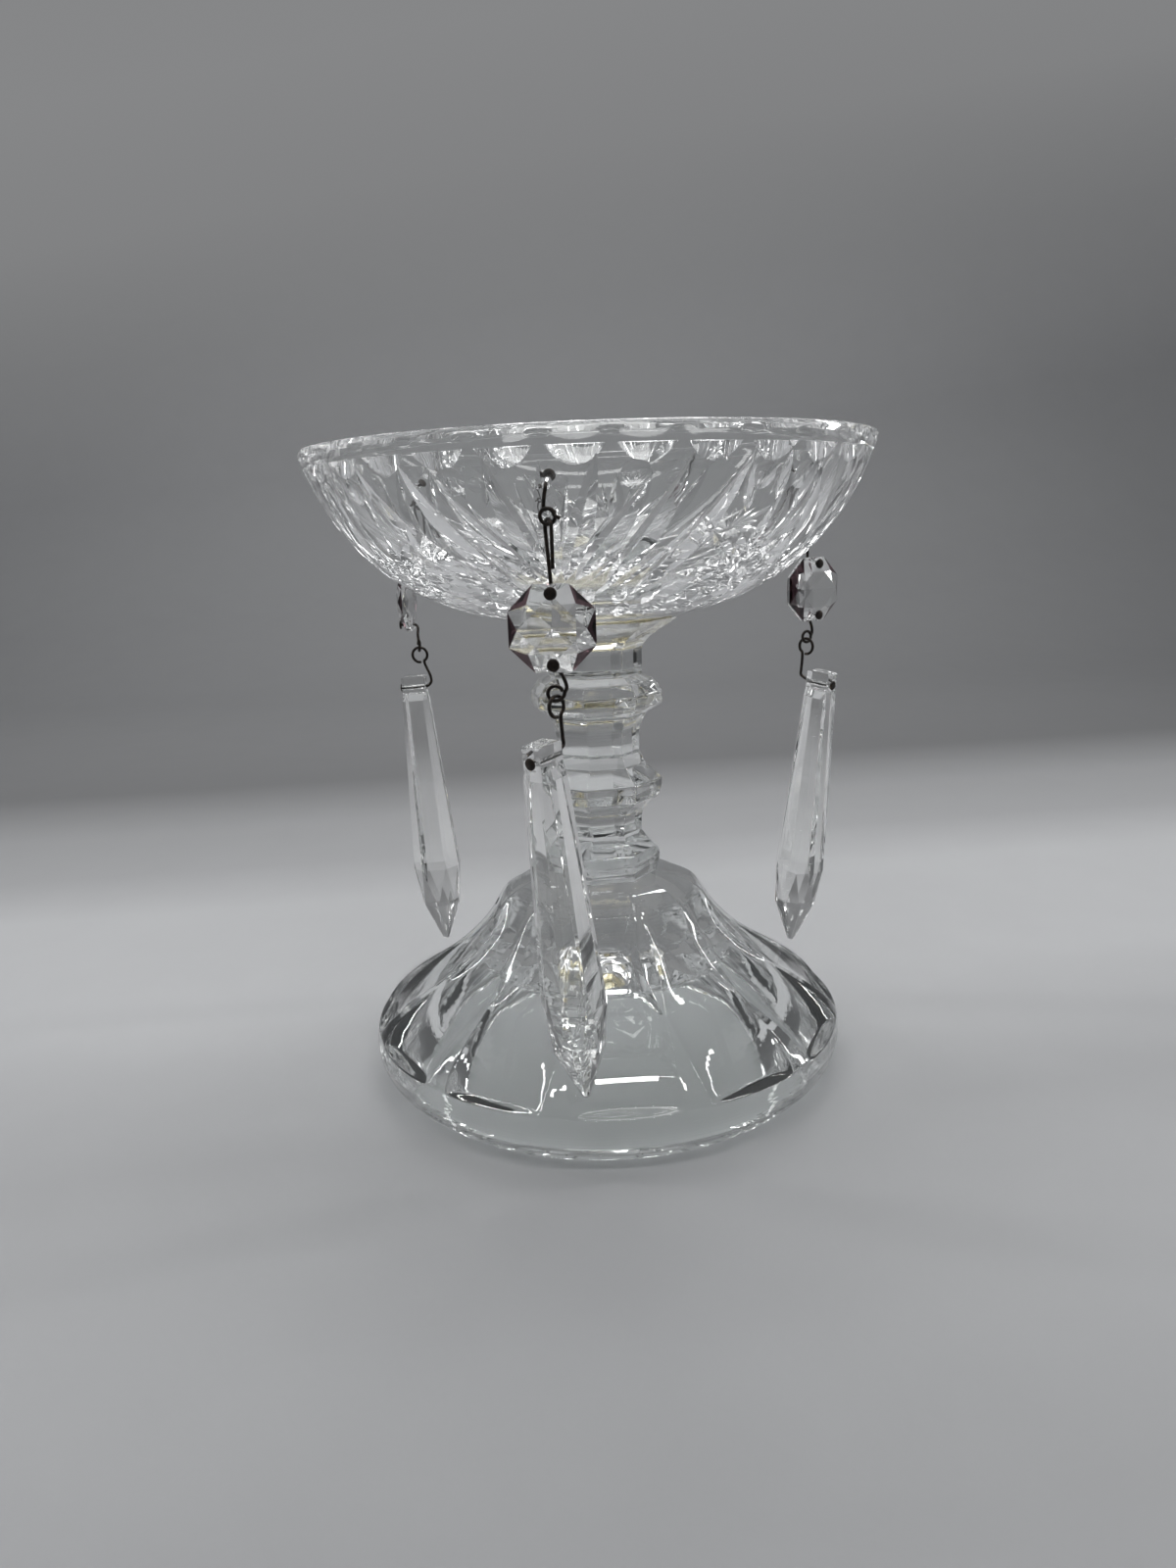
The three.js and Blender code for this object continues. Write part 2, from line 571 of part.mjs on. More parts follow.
// Square block with a hole, a long body that widens downward, and a spear tip of two rows of facets
function uprightPrism() {
  const widest = prismRing(PRISM_WIDEST);
  const before = widest.map((point, k) => widest[(k + widest.length - 1) % widest.length]);
  const spear = widest.map((point, k) => point.clone().lerp(before[k], 0.5).multiplyScalar(SPEAR_SHARE)
    .setZ(PRISM_HOLE_DEPTH - SPEAR_LEVEL));
  const tip = before.map((point) => point.clone().multiplyScalar(TIP_SHARE)
    .setZ(PRISM_HOLE_DEPTH - PRISM_LENGTH));
  const top = new THREE.Vector3(0, 0, PRISM_HOLE_DEPTH);
  const bottom = new THREE.Vector3(0, 0, PRISM_HOLE_DEPTH - PRISM_LENGTH);
  const skin = loft([...PRISM_BLOCK.map(prismRing), widest, spear, tip], top, bottom);
  const hole = rodAlong(new THREE.Vector3(0, -6, 0), new THREE.Vector3(0, 1, 0), 12, HOLE / 2, 10);
  return toGeometry(toSolid(skin).subtract(toSolid(hole)));
}

// The prism's mass hangs plumb under its eye, so the set-back of the eye follows from the lean
const plainPrism = uprightPrism();
const prismMass = massCentre(plainPrism);

function prismHang({ place, octagonFaces, prismFaces, lean }) {
  const ahead = facing(prismFaces);
  const link = linkPoint(place).addScaledVector(facing(octagonFaces), OCTAGON_AHEAD - DROP_BEHIND)
    .setZ(EYE_LINK_HEIGHT);
  const tilt = radians(lean);
  const massDrop = -prismMass.centre.z;
  const setBack = Math.tan(tilt) * (PRISM_HOLE_DROP + massDrop);
  const forward = Math.cos(tilt) * setBack - Math.sin(tilt) * PRISM_HOLE_DROP;
  const fall = Math.sin(tilt) * setBack + Math.cos(tilt) * PRISM_HOLE_DROP;
  const hole = link.clone().addScaledVector(ahead, forward).addScaledVector(UP, -fall);
  const level = ahead.clone().multiplyScalar(Math.cos(tilt)).addScaledVector(UP, -Math.sin(tilt));
  const up = UP.clone().multiplyScalar(Math.cos(tilt)).addScaledVector(ahead, Math.sin(tilt));
  const across = level.clone().cross(up);
  const matrix = new THREE.Matrix4().makeBasis(across, level, up).setPosition(hole);
  return { matrix, setBack };
}

function prism(pendant) {
  return plainPrism.clone().applyMatrix4(prismHang(pendant).matrix);
}

// Prism pin: head in front of the block, out behind it, bent up in an S and curled into an eye
function prismPin(pendant) {
  const { matrix, setBack } = prismHang(pendant);
  const at = (ahead, height) => new THREE.Vector3(0, ahead, height).applyMatrix4(matrix);
  const eyeHeight = PRISM_HOLE_DROP + LINK_RISE - PRISM_EYE_RADIUS;
  const bow = -Math.max(PRISM_BEND + 0.5, setBack + 0.6);
  const places = [
    at(PRISM_HEAD_FRONT, 0), at(0, 0), at(0.5 - PRISM_BEND, 0.05), at(bow, 1.0), at(bow - 0.1, 2.4),
  ];
  for (let k = 0; k <= 14; k += 1) {
    const turn = radians(-60 + 330 * k / 14);
    places.push(at(-setBack - PRISM_EYE_RADIUS * Math.cos(turn),
      eyeHeight + PRISM_EYE_RADIUS * Math.sin(turn)));
  }
  const headDirection = at(0, 0).sub(at(1, 0));
  return headedWire(places, headDirection, 27);
}

function add(group, name, geometry, material) {
  const mesh = new THREE.Mesh(geometry, material);
  mesh.name = name;
  group.add(mesh);
}

const girandole = new THREE.Group();
add(girandole, 'candlestick', candlestick(), clearGlass);
add(girandole, 'cement_disc', cementDisc(), oldCement);
add(girandole, 'bowl', bowl(), cutGlass);
PENDANTS.forEach((pendant) => {
  add(girandole, `${pendant.name}_hook`, hook(pendant), agedWire);
  add(girandole, `${pendant.name}_hanger`, hanger(pendant), agedWire);
  add(girandole, `${pendant.name}_octagon`, octagon(pendant), crystal);
  add(girandole, `${pendant.name}_octagon_pin`, octagonPin(pendant), agedWire);
  add(girandole, `${pendant.name}_prism_pin`, prismPin(pendant), agedWire);
  add(girandole, `${pendant.name}_prism`, prism(pendant), crystal);
});

export default girandole;
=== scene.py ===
import math

import bpy
import numpy as np
from mathutils import Matrix, Vector

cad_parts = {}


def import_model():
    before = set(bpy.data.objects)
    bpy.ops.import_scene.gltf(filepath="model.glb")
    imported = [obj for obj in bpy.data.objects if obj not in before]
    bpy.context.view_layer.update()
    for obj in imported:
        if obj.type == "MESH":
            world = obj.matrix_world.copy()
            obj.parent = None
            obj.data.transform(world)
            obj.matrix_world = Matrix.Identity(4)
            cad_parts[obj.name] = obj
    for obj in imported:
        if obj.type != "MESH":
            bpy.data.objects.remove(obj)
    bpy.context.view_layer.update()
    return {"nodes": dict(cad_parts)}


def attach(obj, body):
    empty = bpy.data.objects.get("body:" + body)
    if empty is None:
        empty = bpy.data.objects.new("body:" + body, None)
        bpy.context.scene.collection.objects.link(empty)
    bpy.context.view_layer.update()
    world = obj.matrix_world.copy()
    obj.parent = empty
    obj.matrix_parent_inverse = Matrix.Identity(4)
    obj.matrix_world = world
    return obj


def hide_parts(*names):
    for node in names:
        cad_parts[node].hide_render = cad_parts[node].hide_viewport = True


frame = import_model()

MM = 0.001
UP = Vector((0, 0, 1))
# Radius at which the profiles start and end, next to the axis
AXIS = 0.01

# Stand
STAND_TOP = 110.9
STEM_SIDES = 8
STEM_CORNER = -11.0
PANELS = 12
PANEL_TURN = 360 / PANELS
FIRST_CORNER = 18.5
FOOT_RING_OUTER = 51.5
FOOT_RING_INNER = 46.5

# Bowl
CEMENT_RADIUS = 18.6
BOWL_BOTTOM = 111.6
BOWL_FLOOR = 116.6
FLOOR_RADIUS = 18
TOTAL_HEIGHT = 150.0
RIM_RADIUS = 64.44
RIM_BAND = 1.3
RIM_DIP = 0.25
BOWL_FOOT_RADIUS = 20.4
MOONS = 31
MOON_TURN = 360 / MOONS
FIRST_MOON = -2.0
MOTIFS = 4
MOTIF_TURN = 360 / MOTIFS
FIRST_MOTIF = -8.0
HOOK_RADIUS = 60.6
HOOK_SLOPE = 25.0

# Pendants
WIRE = 0.72
LINK_RISE = 0.9
PIN_HEAD = 2.4
RING_RADIUS = 1.37
RING_LINK_RADIUS = 59.9
RING_LINK_HEIGHT = 132.83
HANGER_HALF = 1.27
OCTAGON_HEIGHT = 114.4
OCTAGON_HOLE = 6.4
OCTAGON_AHEAD = 1.75
OCTAGON_BACK = 1.35
DROP_BEHIND = 1.95
HEAD_FRONT = 2.35
EYE_RADIUS = 1.4
EYE_LINK_HEIGHT = 100.8
PRISM_EYE_RADIUS = 2.0
PRISM_HOLE_DROP = 9.7
PRISM_MASS_DROP = 37.34
# Each pendant's place on the bowl and the ways its octagon and prism face, by azimuth, and the prism's lean
PENDANTS = [
    {"name": "front", "place": -7.2, "octagon": 0, "prism": -40, "lean": 6.5},
    {"name": "right", "place": 112.8, "octagon": 31, "prism": 45, "lean": 7},
    {"name": "left", "place": -127.2, "octagon": -90, "prism": -92, "lean": 3},
]


def facing(azimuth):
    """Level direction by azimuth: 0 faces the viewer along -Y and 90 points along +X."""
    turn = math.radians(azimuth)
    return Vector((math.sin(turn), -math.cos(turn), 0))


def smoothstep(x, low, high):
    t = min(max((x - low) / (high - low), 0), 1)
    return t * t * (3 - 2 * t)


def bezier(a, b, c, count):
    """Points of a quadratic curve from a to c, drawn towards b."""
    t = np.linspace(0, 1, count)[:, None]
    return (1 - t) ** 2 * np.array(a) + 2 * t * (1 - t) * np.array(b) + t ** 2 * np.array(c)


# Meshes


def shade(obj, sharp):
    """Smooth shading, but for edges sharper than the given angle."""
    obj.data.polygons.foreach_set("use_smooth", [True] * len(obj.data.polygons))
    obj.data.set_sharp_from_angle(angle=math.radians(sharp))


def mesh_object(name, points, faces, materials, sharp=30):
    """Shaded object from points in millimetres."""
    mesh = bpy.data.meshes.new(name)
    mesh.from_pydata([tuple(p) for p in np.array(points, float) * MM], [], faces)
    mesh.validate()
    for material in materials:
        mesh.materials.append(material)
    obj = bpy.data.objects.new(name, mesh)
    bpy.context.scene.collection.objects.link(obj)
    shade(obj, sharp)
    return obj


def grid_faces(rows, columns, wrap=True):
    """Quads over rows of points, closed round each row where it wraps."""
    faces = []
    last = columns if wrap else columns - 1
    for row in range(rows - 1):
        for k in range(last):
            a = row * columns + k
            b = row * columns + (k + 1) % columns
            faces.append((a, b, b + columns, a + columns))
    return faces


def capped(rings):
    """Points and faces of a solid through rings of equal count, with a point in the middle of each end."""
    rings = np.array(rings)
    rows, columns = rings.shape[:2]
    first, last = rings[0].mean(0), rings[-1].mean(0)
    points = np.vstack([rings.reshape(-1, 3), first, last])
    faces = grid_faces(rows, columns)
    start, end = rows * columns, rows * columns + 1
    for k in range(columns):
        after = (k + 1) % columns
        faces.append((start, after, k))
        faces.append((end, (rows - 1) * columns + k, (rows - 1) * columns + after))
    return points, faces


def ring_of(azimuths, radii, height):
    """Level ring of points by azimuth and radius."""
    turns = np.radians(azimuths)
    return np.column_stack([np.sin(turns) * radii, -np.cos(turns) * radii, np.full(len(turns), height)])


def revolve(profile, segments, first=0.0):
    """Solid of revolution, drawn from the axis at the bottom, outside and up, and back to the axis."""
    azimuths = first + np.arange(segments) * 360 / segments
    return capped([ring_of(azimuths, radius, height) for radius, height in profile])


# An eased corner's points, and the share of a side that it may take
CORNER_POINTS = 5
CORNER_SHARE = 0.48
# The longest step of a profile, and how near its ends a long run is held flat
PROFILE_STEP = 1.2
HOLD = 0.06
LONG_RUN = 6 * HOLD


def rounded(points, step=PROFILE_STEP):
    """Profile with each corner eased by its third value, and with long runs divided and held flat."""
    corners = np.array(points, float)
    line = [corners[0, :2]]
    for k in range(1, len(corners) - 1):
        here = corners[k, :2]
        to_before, to_after = corners[k - 1, :2] - here, corners[k + 1, :2] - here
        before, after = np.linalg.norm(to_before), np.linalg.norm(to_after)
        reach = min(corners[k, 2], CORNER_SHARE * before, CORNER_SHARE * after)
        start = here + to_before / before * reach
        end = here + to_after / after * reach
        line.extend(bezier(start, here, end, CORNER_POINTS))
    line.append(corners[-1, :2])
    fine = [line[0]]
    for a, b in zip(line, line[1:]):
        length = np.linalg.norm(b - a)
        parts = max(1, math.ceil(length / step))
        shares = [(k + 1) / parts for k in range(parts)]
        if length > LONG_RUN:
            shares = [HOLD / length, *shares[:-1], 1 - HOLD / length, 1]
        fine.extend(a + (b - a) * share for share in shares)
    return np.array(fine)


def boolean(target, cutters, materials, operation="DIFFERENCE"):
    """Cuts solids out of the target, or joins them to it. Solids of one call don't touch each other."""
    points, faces = [], []
    for cutter_points, cutter_faces in cutters:
        offset = len(points)
        points.extend(cutter_points)
        faces.extend(tuple(i + offset for i in face) for face in cutter_faces)
    tool = mesh_object("cutter", points, faces, materials)
    tool.data.polygons.foreach_set("material_index", [len(materials) - 1] * len(tool.data.polygons))
    modifier = target.modifiers.new("cut", "BOOLEAN")
    modifier.operation = operation
    modifier.solver = "MANIFOLD"
    modifier.object = tool
    graph = bpy.context.evaluated_depsgraph_get()
    mesh = bpy.data.meshes.new_from_object(target.evaluated_get(graph))
    target.modifiers.clear()
    old = target.data
    target.data = mesh
    bpy.data.meshes.remove(old)
    bpy.data.objects.remove(tool)


# Nodes of the materials


def principled(name, values):
    """New material with the given inputs of its shader, its node tree and the shader."""
    material = bpy.data.materials.new(name)
    material.use_nodes = True
    shader = material.node_tree.nodes["Principled BSDF"]
    for key, value in values.items():
        shader.inputs[key].default_value = value
    return material, material.node_tree, shader


def node(tree, kind, **values):
    made = tree.nodes.new(kind)
    for key, value in values.items():
        if key in made.inputs:
            made.inputs[key].default_value = value
        else:
            setattr(made, key, value)
    return made


def grey(value):
    return (value,) * 3


def object_noise(tree, scale, detail=2.0, stretch=(1, 1, 1)):
    """Noise over the object's own place, its scale in features per metre."""
    place = tree.nodes.new("ShaderNodeTexCoord")
    mapping = node(tree, "ShaderNodeMapping", Scale=stretch)
    noise = node(tree, "ShaderNodeTexNoise", Scale=scale, Detail=detail)
    tree.links.new(place.outputs["Object"], mapping.inputs["Vector"])
    tree.links.new(mapping.outputs["Vector"], noise.inputs["Vector"])
    return noise.outputs["Fac"]


def ramp(tree, value, stops):
    made = tree.nodes.new("ShaderNodeValToRGB")
    elements = made.color_ramp.elements
    while len(elements) < len(stops):
        elements.new(0.5)
    for element, (position, colour) in zip(elements, stops):
        element.position = position
        element.color = (*colour, 1)
    tree.links.new(value, made.inputs["Fac"])
    return made.outputs["Color"]


def share_between(tree, value, low, high):
    """Share of the way from low to high, held at 0 and 1 outside them."""
    made = tree.nodes.new("ShaderNodeMapRange")
    made.inputs["From Min"].default_value = low
    made.inputs["From Max"].default_value = high
    tree.links.new(value, made.inputs["Value"])
    return made.outputs["Result"]


def calculated(tree, operation, first, second):
    made = node(tree, "ShaderNodeMath", operation=operation)
    tree.links.new(first, made.inputs[0])
    tree.links.new(second, made.inputs[1])
    return made.outputs["Value"]


def multiplied_colours(tree, first, second):
    made = node(tree, "ShaderNodeMix", data_type="RGBA", blend_type="MULTIPLY")
    made.inputs["Factor"].default_value = 1
    tree.links.new(first, made.inputs["A"])
    tree.links.new(second, made.inputs["B"])
    return made.outputs["Result"]


def blend_surface(tree, share, first, second):
    """Makes the material's surface a blend of two shaders."""
    blend = tree.nodes.new("ShaderNodeMixShader")
    tree.links.new(share, blend.inputs["Fac"])
    tree.links.new(first, blend.inputs[1])
    tree.links.new(second, blend.inputs[2])
    tree.links.new(blend.outputs["Shader"], tree.nodes["Material Output"].inputs["Surface"])


def roughen(tree, shader, height, strength, depth):
    """Bumps of the given depth on the material's skin."""
    skin = node(tree, "ShaderNodeBump", Strength=strength, Distance=depth)
    tree.links.new(height, skin.inputs["Height"])
    tree.links.new(skin.outputs["Normal"], shader.inputs["Normal"])


# Materials

STREAKS = {"scale": 60, "detail": 3, "stretch": (1, 1, 0.4)}
# Levels of the streaks' noise at which the glass has its plain and its deep tint
PLAIN_LEVEL = 0.35
DEEP_LEVEL = 0.7
WEAR = {"scale": 900, "detail": 4}
POLISH = [(0.45, grey(0.0)), (0.8, grey(0.02))]
SKIN_DEPTH = 0.0004
# What a lamp's light keeps at each surface of glass on its way to the floor
LIGHT_KEPT = (0.47, 0.48, 0.48, 1)

# Runs of cement on the stand, and the heights between which they come in
CEMENT_TINT = (0.9, 0.82, 0.58, 1)
RUNS = {"scale": 260, "detail": 3, "stretch": (1, 1, 0.35)}
RUN_STOPS = [(0.42, grey(0)), (0.62, grey(0.8))]
RUNS_END = STAND_TOP - 6.4
RUNS_START = STAND_TOP - 0.4

CEMENT_SPOTS = {"scale": 350, "detail": 4}
CEMENT_COLOURS = [(0.3, (0.94, 0.91, 0.78)), (0.6, (0.88, 0.8, 0.55)), (0.85, (0.66, 0.52, 0.28))]
CEMENT_ROUGHNESS = [(0.3, grey(0.1)), (0.8, grey(0.35))]

PATINA = {"scale": 1500, "detail": 4}
PATINA_COLOURS = [(0.35, (0.012, 0.01, 0.009)), (0.62, (0.028, 0.02, 0.015)), (0.8, (0.1, 0.065, 0.035))]
PATINA_ROUGHNESS = [(0.3, grey(0.6)), (0.8, grey(0.3))]
PITS = {"scale": 4000, "detail": 3}
PIT_STRENGTH = 0.4
PIT_DEPTH = 0.0001


def glass(name, tint, deep, index, waves, bump):
    """Clear glass with faint streaks in its tint, a little wear in its polish and a faintly uneven skin."""
    material, tree, shader = principled(name, {"Transmission Weight": 1, "IOR": index})
    streaks = object_noise(tree, **STREAKS)
    colour = ramp(tree, streaks, [(PLAIN_LEVEL, tint), (DEEP_LEVEL, deep)])
    tree.links.new(colour, shader.inputs["Base Color"])
    tree.links.new(ramp(tree, object_noise(tree, **WEAR), POLISH), shader.inputs["Roughness"])
    roughen(tree, shader, object_noise(tree, waves, 1), bump, SKIN_DEPTH)
    let_light_through(tree, shader)
    return material


def let_light_through(tree, shader):
    """Lamps light the floor through the glass, a little less at each surface, so its shadow stays soft."""
    rays = tree.nodes.new("ShaderNodeLightPath")
    clear = node(tree, "ShaderNodeBsdfTransparent", Color=LIGHT_KEPT)
    blend_surface(tree, rays.outputs["Is Shadow Ray"], shader.outputs["BSDF"], clear.outputs["BSDF"])


def stand_glass():
    """Pressed glass, with thin runs of old yellow cement down from its top."""
    tint, deep = (0.97, 0.98, 0.974), (0.94, 0.96, 0.95)
    material = glass("pressed_glass", tint, deep, index=1.5, waves=70, bump=0.2)
    tree = material.node_tree
    shader = tree.nodes["Principled BSDF"]
    plain = shader.inputs["Base Color"].links[0].from_socket
    place = tree.nodes.new("ShaderNodeTexCoord")
    split = tree.nodes.new("ShaderNodeSeparateXYZ")
    tree.links.new(place.outputs["Object"], split.inputs["Vector"])
    near_top = share_between(tree, split.outputs["Z"], RUNS_END * MM, RUNS_START * MM)
    runs = ramp(tree, object_noise(tree, **RUNS), RUN_STOPS)
    mix = node(tree, "ShaderNodeMix", data_type="RGBA")
    mix.inputs["B"].default_value = CEMENT_TINT
    tree.links.new(calculated(tree, "MULTIPLY", near_top, runs), mix.inputs["Factor"])
    tree.links.new(plain, mix.inputs["A"])
    tree.links.new(mix.outputs["Result"], shader.inputs["Base Color"])
    return material


def wire_metal():
    """Brass gone almost black, browner where it was bent and rubbed."""
    material, tree, shader = principled("tarnished_wire", {"Metallic": 0.6})
    patina = object_noise(tree, **PATINA)
    tree.links.new(ramp(tree, patina, PATINA_COLOURS), shader.inputs["Base Color"])
    tree.links.new(ramp(tree, patina, PATINA_ROUGHNESS), shader.inputs["Roughness"])
    roughen(tree, shader, object_noise(tree, **PITS), PIT_STRENGTH, PIT_DEPTH)
    return material


def cement():
    """Half clear adhesive, yellow and brown in spots."""
    material, tree, shader = principled("yellowed_cement", {"Transmission Weight": 0.75, "IOR": 1.48})
    spots = object_noise(tree, **CEMENT_SPOTS)
    tree.links.new(ramp(tree, spots, CEMENT_COLOURS), shader.inputs["Base Color"])
    tree.links.new(ramp(tree, spots, CEMENT_ROUGHNESS), shader.inputs["Roughness"])
    return material


PRESSED = stand_glass()
BLOWN = glass("bowl_glass", (0.99, 0.993, 0.99), (0.965, 0.975, 0.97), index=1.52, waves=60, bump=0.12)
WHEEL_CUT = glass("wheel_cut_glass", (0.99, 0.993, 0.992), (0.97, 0.98, 0.98),
                  index=1.52, waves=240, bump=0.2)
# Near-black glass for the octagons' slanted facets: a painted dark reflection of the dim room behind the
# camera
CRYSTAL_PAINTED_DARK_REFLECTION = glass("crystal_painted_dark_reflection", (0.02, 0.006, 0.008), (0.008, 0.003, 0.004),
                       index=1.6, waves=90, bump=0.08)
CRYSTAL = glass("crystal", (0.985, 0.985, 0.98), (0.96, 0.965, 0.955), index=1.6, waves=90, bump=0.08)
METAL = wire_metal()
CEMENT = cement()

# Stand

# Profiles as corner radius, height and how far each corner is eased
CUP = [(AXIS, STAND_TOP, 0), (20.1, STAND_TOP, 0.2), (18.7, 109.8, 1), (15.9, 108.3, 2), (12.8, 106.1, 2),
       (11.4, 104.2, 2), (11.3, 97.8, 0.3)]
UPPER_KNOP = [(14.2, 96.4, 0.5), (16.0, 93.7, 0.3), (16.1, 90.8, 0.15), (12.2, 88.5, 0.5), (10.3, 84.6, 1.5),
              (10.2, 79.2, 0.5)]
MIDDLE_KNOP = [(11.5, 76.1, 0.4), (15.6, 72.5, 0.4), (15.5, 70.7, 0.15), (14.9, 68.3, 0.15),
               (10.9, 64.8, 0.5), (10.4, 63.0, 1), (10.3, 59.3, 0.5)]
LOWER_KNOP = [(11.6, 57.4, 0.5), (14.2, 54.9, 0.6), (14.7, 53.4, 0.5), (14.4, 51.2, 0.5), (13.5, 49.1, 0.3),
              (13.3, 47.6, 0.2), (AXIS, 47.6, 0)]
SHOULDER = [(AXIS, 49.0, 0), (12.4, 49.0, 1), (18, 47.9, 1.5), (21.8, 46.3, 2), (24.7, 44.4, 2.5),
            (26.7, 41.5, 2), (28.4, 38.4, 2), (30.2, 36.0, 2)]
SWEEP = [(33.2, 32.7, 3), (37, 29.2, 3), (40.9, 26.4, 3), (44.8, 24, 3), (48.8, 21.5, 3), (52.4, 19.0, 3),
         (55.9, 15.7, 3), (57.3, 13.8, 0.1), (57.45, 13.6, 0.05), (57.55, 13.4, 0.05)]
EDGE = [(57.65, 13.2, 0.05), (57.7, 13.0, 0.05), (57.75, 12.8, 0.1), (58.4, 9.4, 3), (57.2, 4.8, 2.5),
        (53.0, 0.7, 1), (FOOT_RING_OUTER, 0, 0.4), (FOOT_RING_INNER, 0, 0.5)]
HOLLOW = [(FOOT_RING_INNER, 0, 0), (42.3, 9.8, 6), (38.5, 16, 6), (34.2, 20.8, 3), (28, 25.7, 0.8),
          (14, 29.5, 6), (AXIS, 30.3, 0)]
HOLLOW_STEP = 1.5
# How far each flute reaches to either side of its middle in degrees, and how hollow it is, by height
FLUTE_REACH = [(13.0, 11.4), (14.6, 12.1), (18, 12.8), (22, 13.5), (25, 14.3), (26.5, 14.75), (29, 13.6),
               (32, 12.2), (36, 11.2), (41, 12.4), (47, 14.75)]
FLUTE_HOLLOW = [(12.7, 0), (13.3, 1.9), (20, 1.85), (28, 1.6), (36, 1.3), (42, 0.6), (47, 0)]
# The power by which a flute's hollow turns up at its sides
HOLLOW_SHAPE = 5
# The heights between which the plain band gives way to the flutes
BAND_TOP = (12.75, 13.65)
# Columns of points, from the middle of a flute to its side and from there over the ridge
FLUTE_COLUMNS = [0, 0.3, 0.55, 0.74, 0.85, 0.92, 0.96, 0.98, 1.0]
RIDGE_COLUMNS = [0.12, 0.3, 0.5, 0.7, 0.88]
# How far to either side the flutes' edges are eased, and the steps in it
EDGE_EASE = 0.3
EASE_STEPS = 6
# Columns of points over a panel of the stem, and the degrees that a rounded corner takes from each end of it
STEM_COLUMNS = np.array([-1, -0.985, -0.9, -0.5, 0, 0.5, 0.9, 0.985, 1])
STEM_CORNER_HALF = 1.0
STAND_SHARP = 24


def flat_radius(radius, reach, off):
    """Radius at a turn from the middle of a flat side, which has the given radius where its reach ends."""
    return radius * math.cos(math.radians(reach)) / np.cos(np.radians(off))


def flute_radius(radius, reach, hollow, off):
    """Radius at a turn from a flute's middle: hollowed inside its reach, round on the ridge beside it."""
    off = np.abs((off + PANEL_TURN / 2) % PANEL_TURN - PANEL_TURN / 2)
    depth = hollow * (1 - (off / reach) ** HOLLOW_SHAPE)
    return np.where(off < reach, flat_radius(radius, reach, off) - depth, radius)


def foot_section(radius, height):
    """Angles and radii of the foot's outline at one height: flutes between ridges, with eased edges."""
    reach = np.interp(height, *zip(*FLUTE_REACH))
    hollow = np.interp(height, *zip(*FLUTE_HOLLOW))
    above_band = smoothstep(height, *BAND_TOP)
    across = np.array([-u for u in FLUTE_COLUMNS[:0:-1]] + FLUTE_COLUMNS) * reach
    ridge = reach + (PANEL_TURN - 2 * reach) * np.array(RIDGE_COLUMNS)
    off = np.concatenate([across, ridge])
    ease = math.degrees(EDGE_EASE / max(radius, 1))
    shifted = [flute_radius(radius, reach, hollow, off + ease * k / EASE_STEPS)
               for k in range(-EASE_STEPS, EASE_STEPS + 1)]
    radii = radius + (np.mean(shifted, axis=0) - radius) * above_band
    middles = [FIRST_CORNER + (panel + 0.5) * PANEL_TURN for panel in range(PANELS)]
    return np.concatenate([middle + off for middle in middles]), np.tile(radii, PANELS)


def stem_section(radius):
    """Angles and radii of the stem's outline: flat panels with barely rounded corners."""
    reach = 180 / STEM_SIDES - STEM_CORNER_HALF
    off = STEM_COLUMNS * reach
    angles = [STEM_CORNER + (panel + 0.5) * 360 / STEM_SIDES + off for panel in range(STEM_SIDES)]
    return np.concatenate(angles), np.tile(flat_radius(radius, reach, off), STEM_SIDES)


def candlestick():
    """The foot over its hollow, and the stem joined to it."""
    line = rounded(SHOULDER + SWEEP + EDGE)
    outside = [ring_of(*foot_section(radius, height), height) for radius, height in line]
    columns = foot_section(1, 0)[0]
    inside = [ring_of(columns, radius, height) for radius, height in rounded(HOLLOW, HOLLOW_STEP)[1:]]
    piece = mesh_object("candlestick_fine", *capped((outside + inside)[::-1]), [PRESSED], STAND_SHARP)
    line = rounded(CUP + UPPER_KNOP + MIDDLE_KNOP + LOWER_KNOP)
    stem = [ring_of(*stem_section(radius), height) for radius, height in line]
    boolean(piece, [capped(stem[::-1])], [PRESSED], "UNION")
    shade(piece, STAND_SHARP)
    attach(piece, "stand")
    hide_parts("candlestick")


CEMENT_STEP = 3.0
CEMENT_SHARP = 50
# Waves of the cement's edge as depth, number round the disc and turn
CEMENT_WAVES = [(0.12, 5, 40), (0.09, 11, 0)]
# Outline of the cement as radius, height and how much of the waves it takes
CEMENT_OUTLINE = [(AXIS, STAND_TOP, 0), (CEMENT_RADIUS - 0.3, STAND_TOP + 0.02, 1),
                  (CEMENT_RADIUS, STAND_TOP + 0.35, 1), (CEMENT_RADIUS - 0.3, BOWL_BOTTOM - 0.02, 1),
                  (AXIS, BOWL_BOTTOM, 0)]


def cement_disc():
    """A thin disc of cement with an uneven squeezed edge."""
    turns = np.arange(0, 360, CEMENT_STEP)
    wave = sum(depth * np.sin(np.radians(turns * count + turn)) for depth, count, turn in CEMENT_WAVES)
    rings = [ring_of(turns, radius + wave * share, height) for radius, height, share in CEMENT_OUTLINE]
    piece = mesh_object("cement_fine", *capped(rings), [CEMENT], CEMENT_SHARP)
    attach(piece, "stand")
    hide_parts("cement_disc")


# Bowl

BOWL_GLASS = [BLOWN, WHEEL_CUT]
BOWL_SHARP = 14
# Walls as radius and height, each drawn towards one point between its ends
OUTER_START = (BOWL_FOOT_RADIUS, BOWL_BOTTOM)
OUTER_PULL = (54, 117.3)
OUTER_END = (RIM_RADIUS, TOTAL_HEIGHT - RIM_BAND)
INNER_START = (FLOOR_RADIUS, BOWL_FLOOR)
INNER_PULL = (50.5, 120.6)
INNER_END = (61, TOTAL_HEIGHT - 0.6)
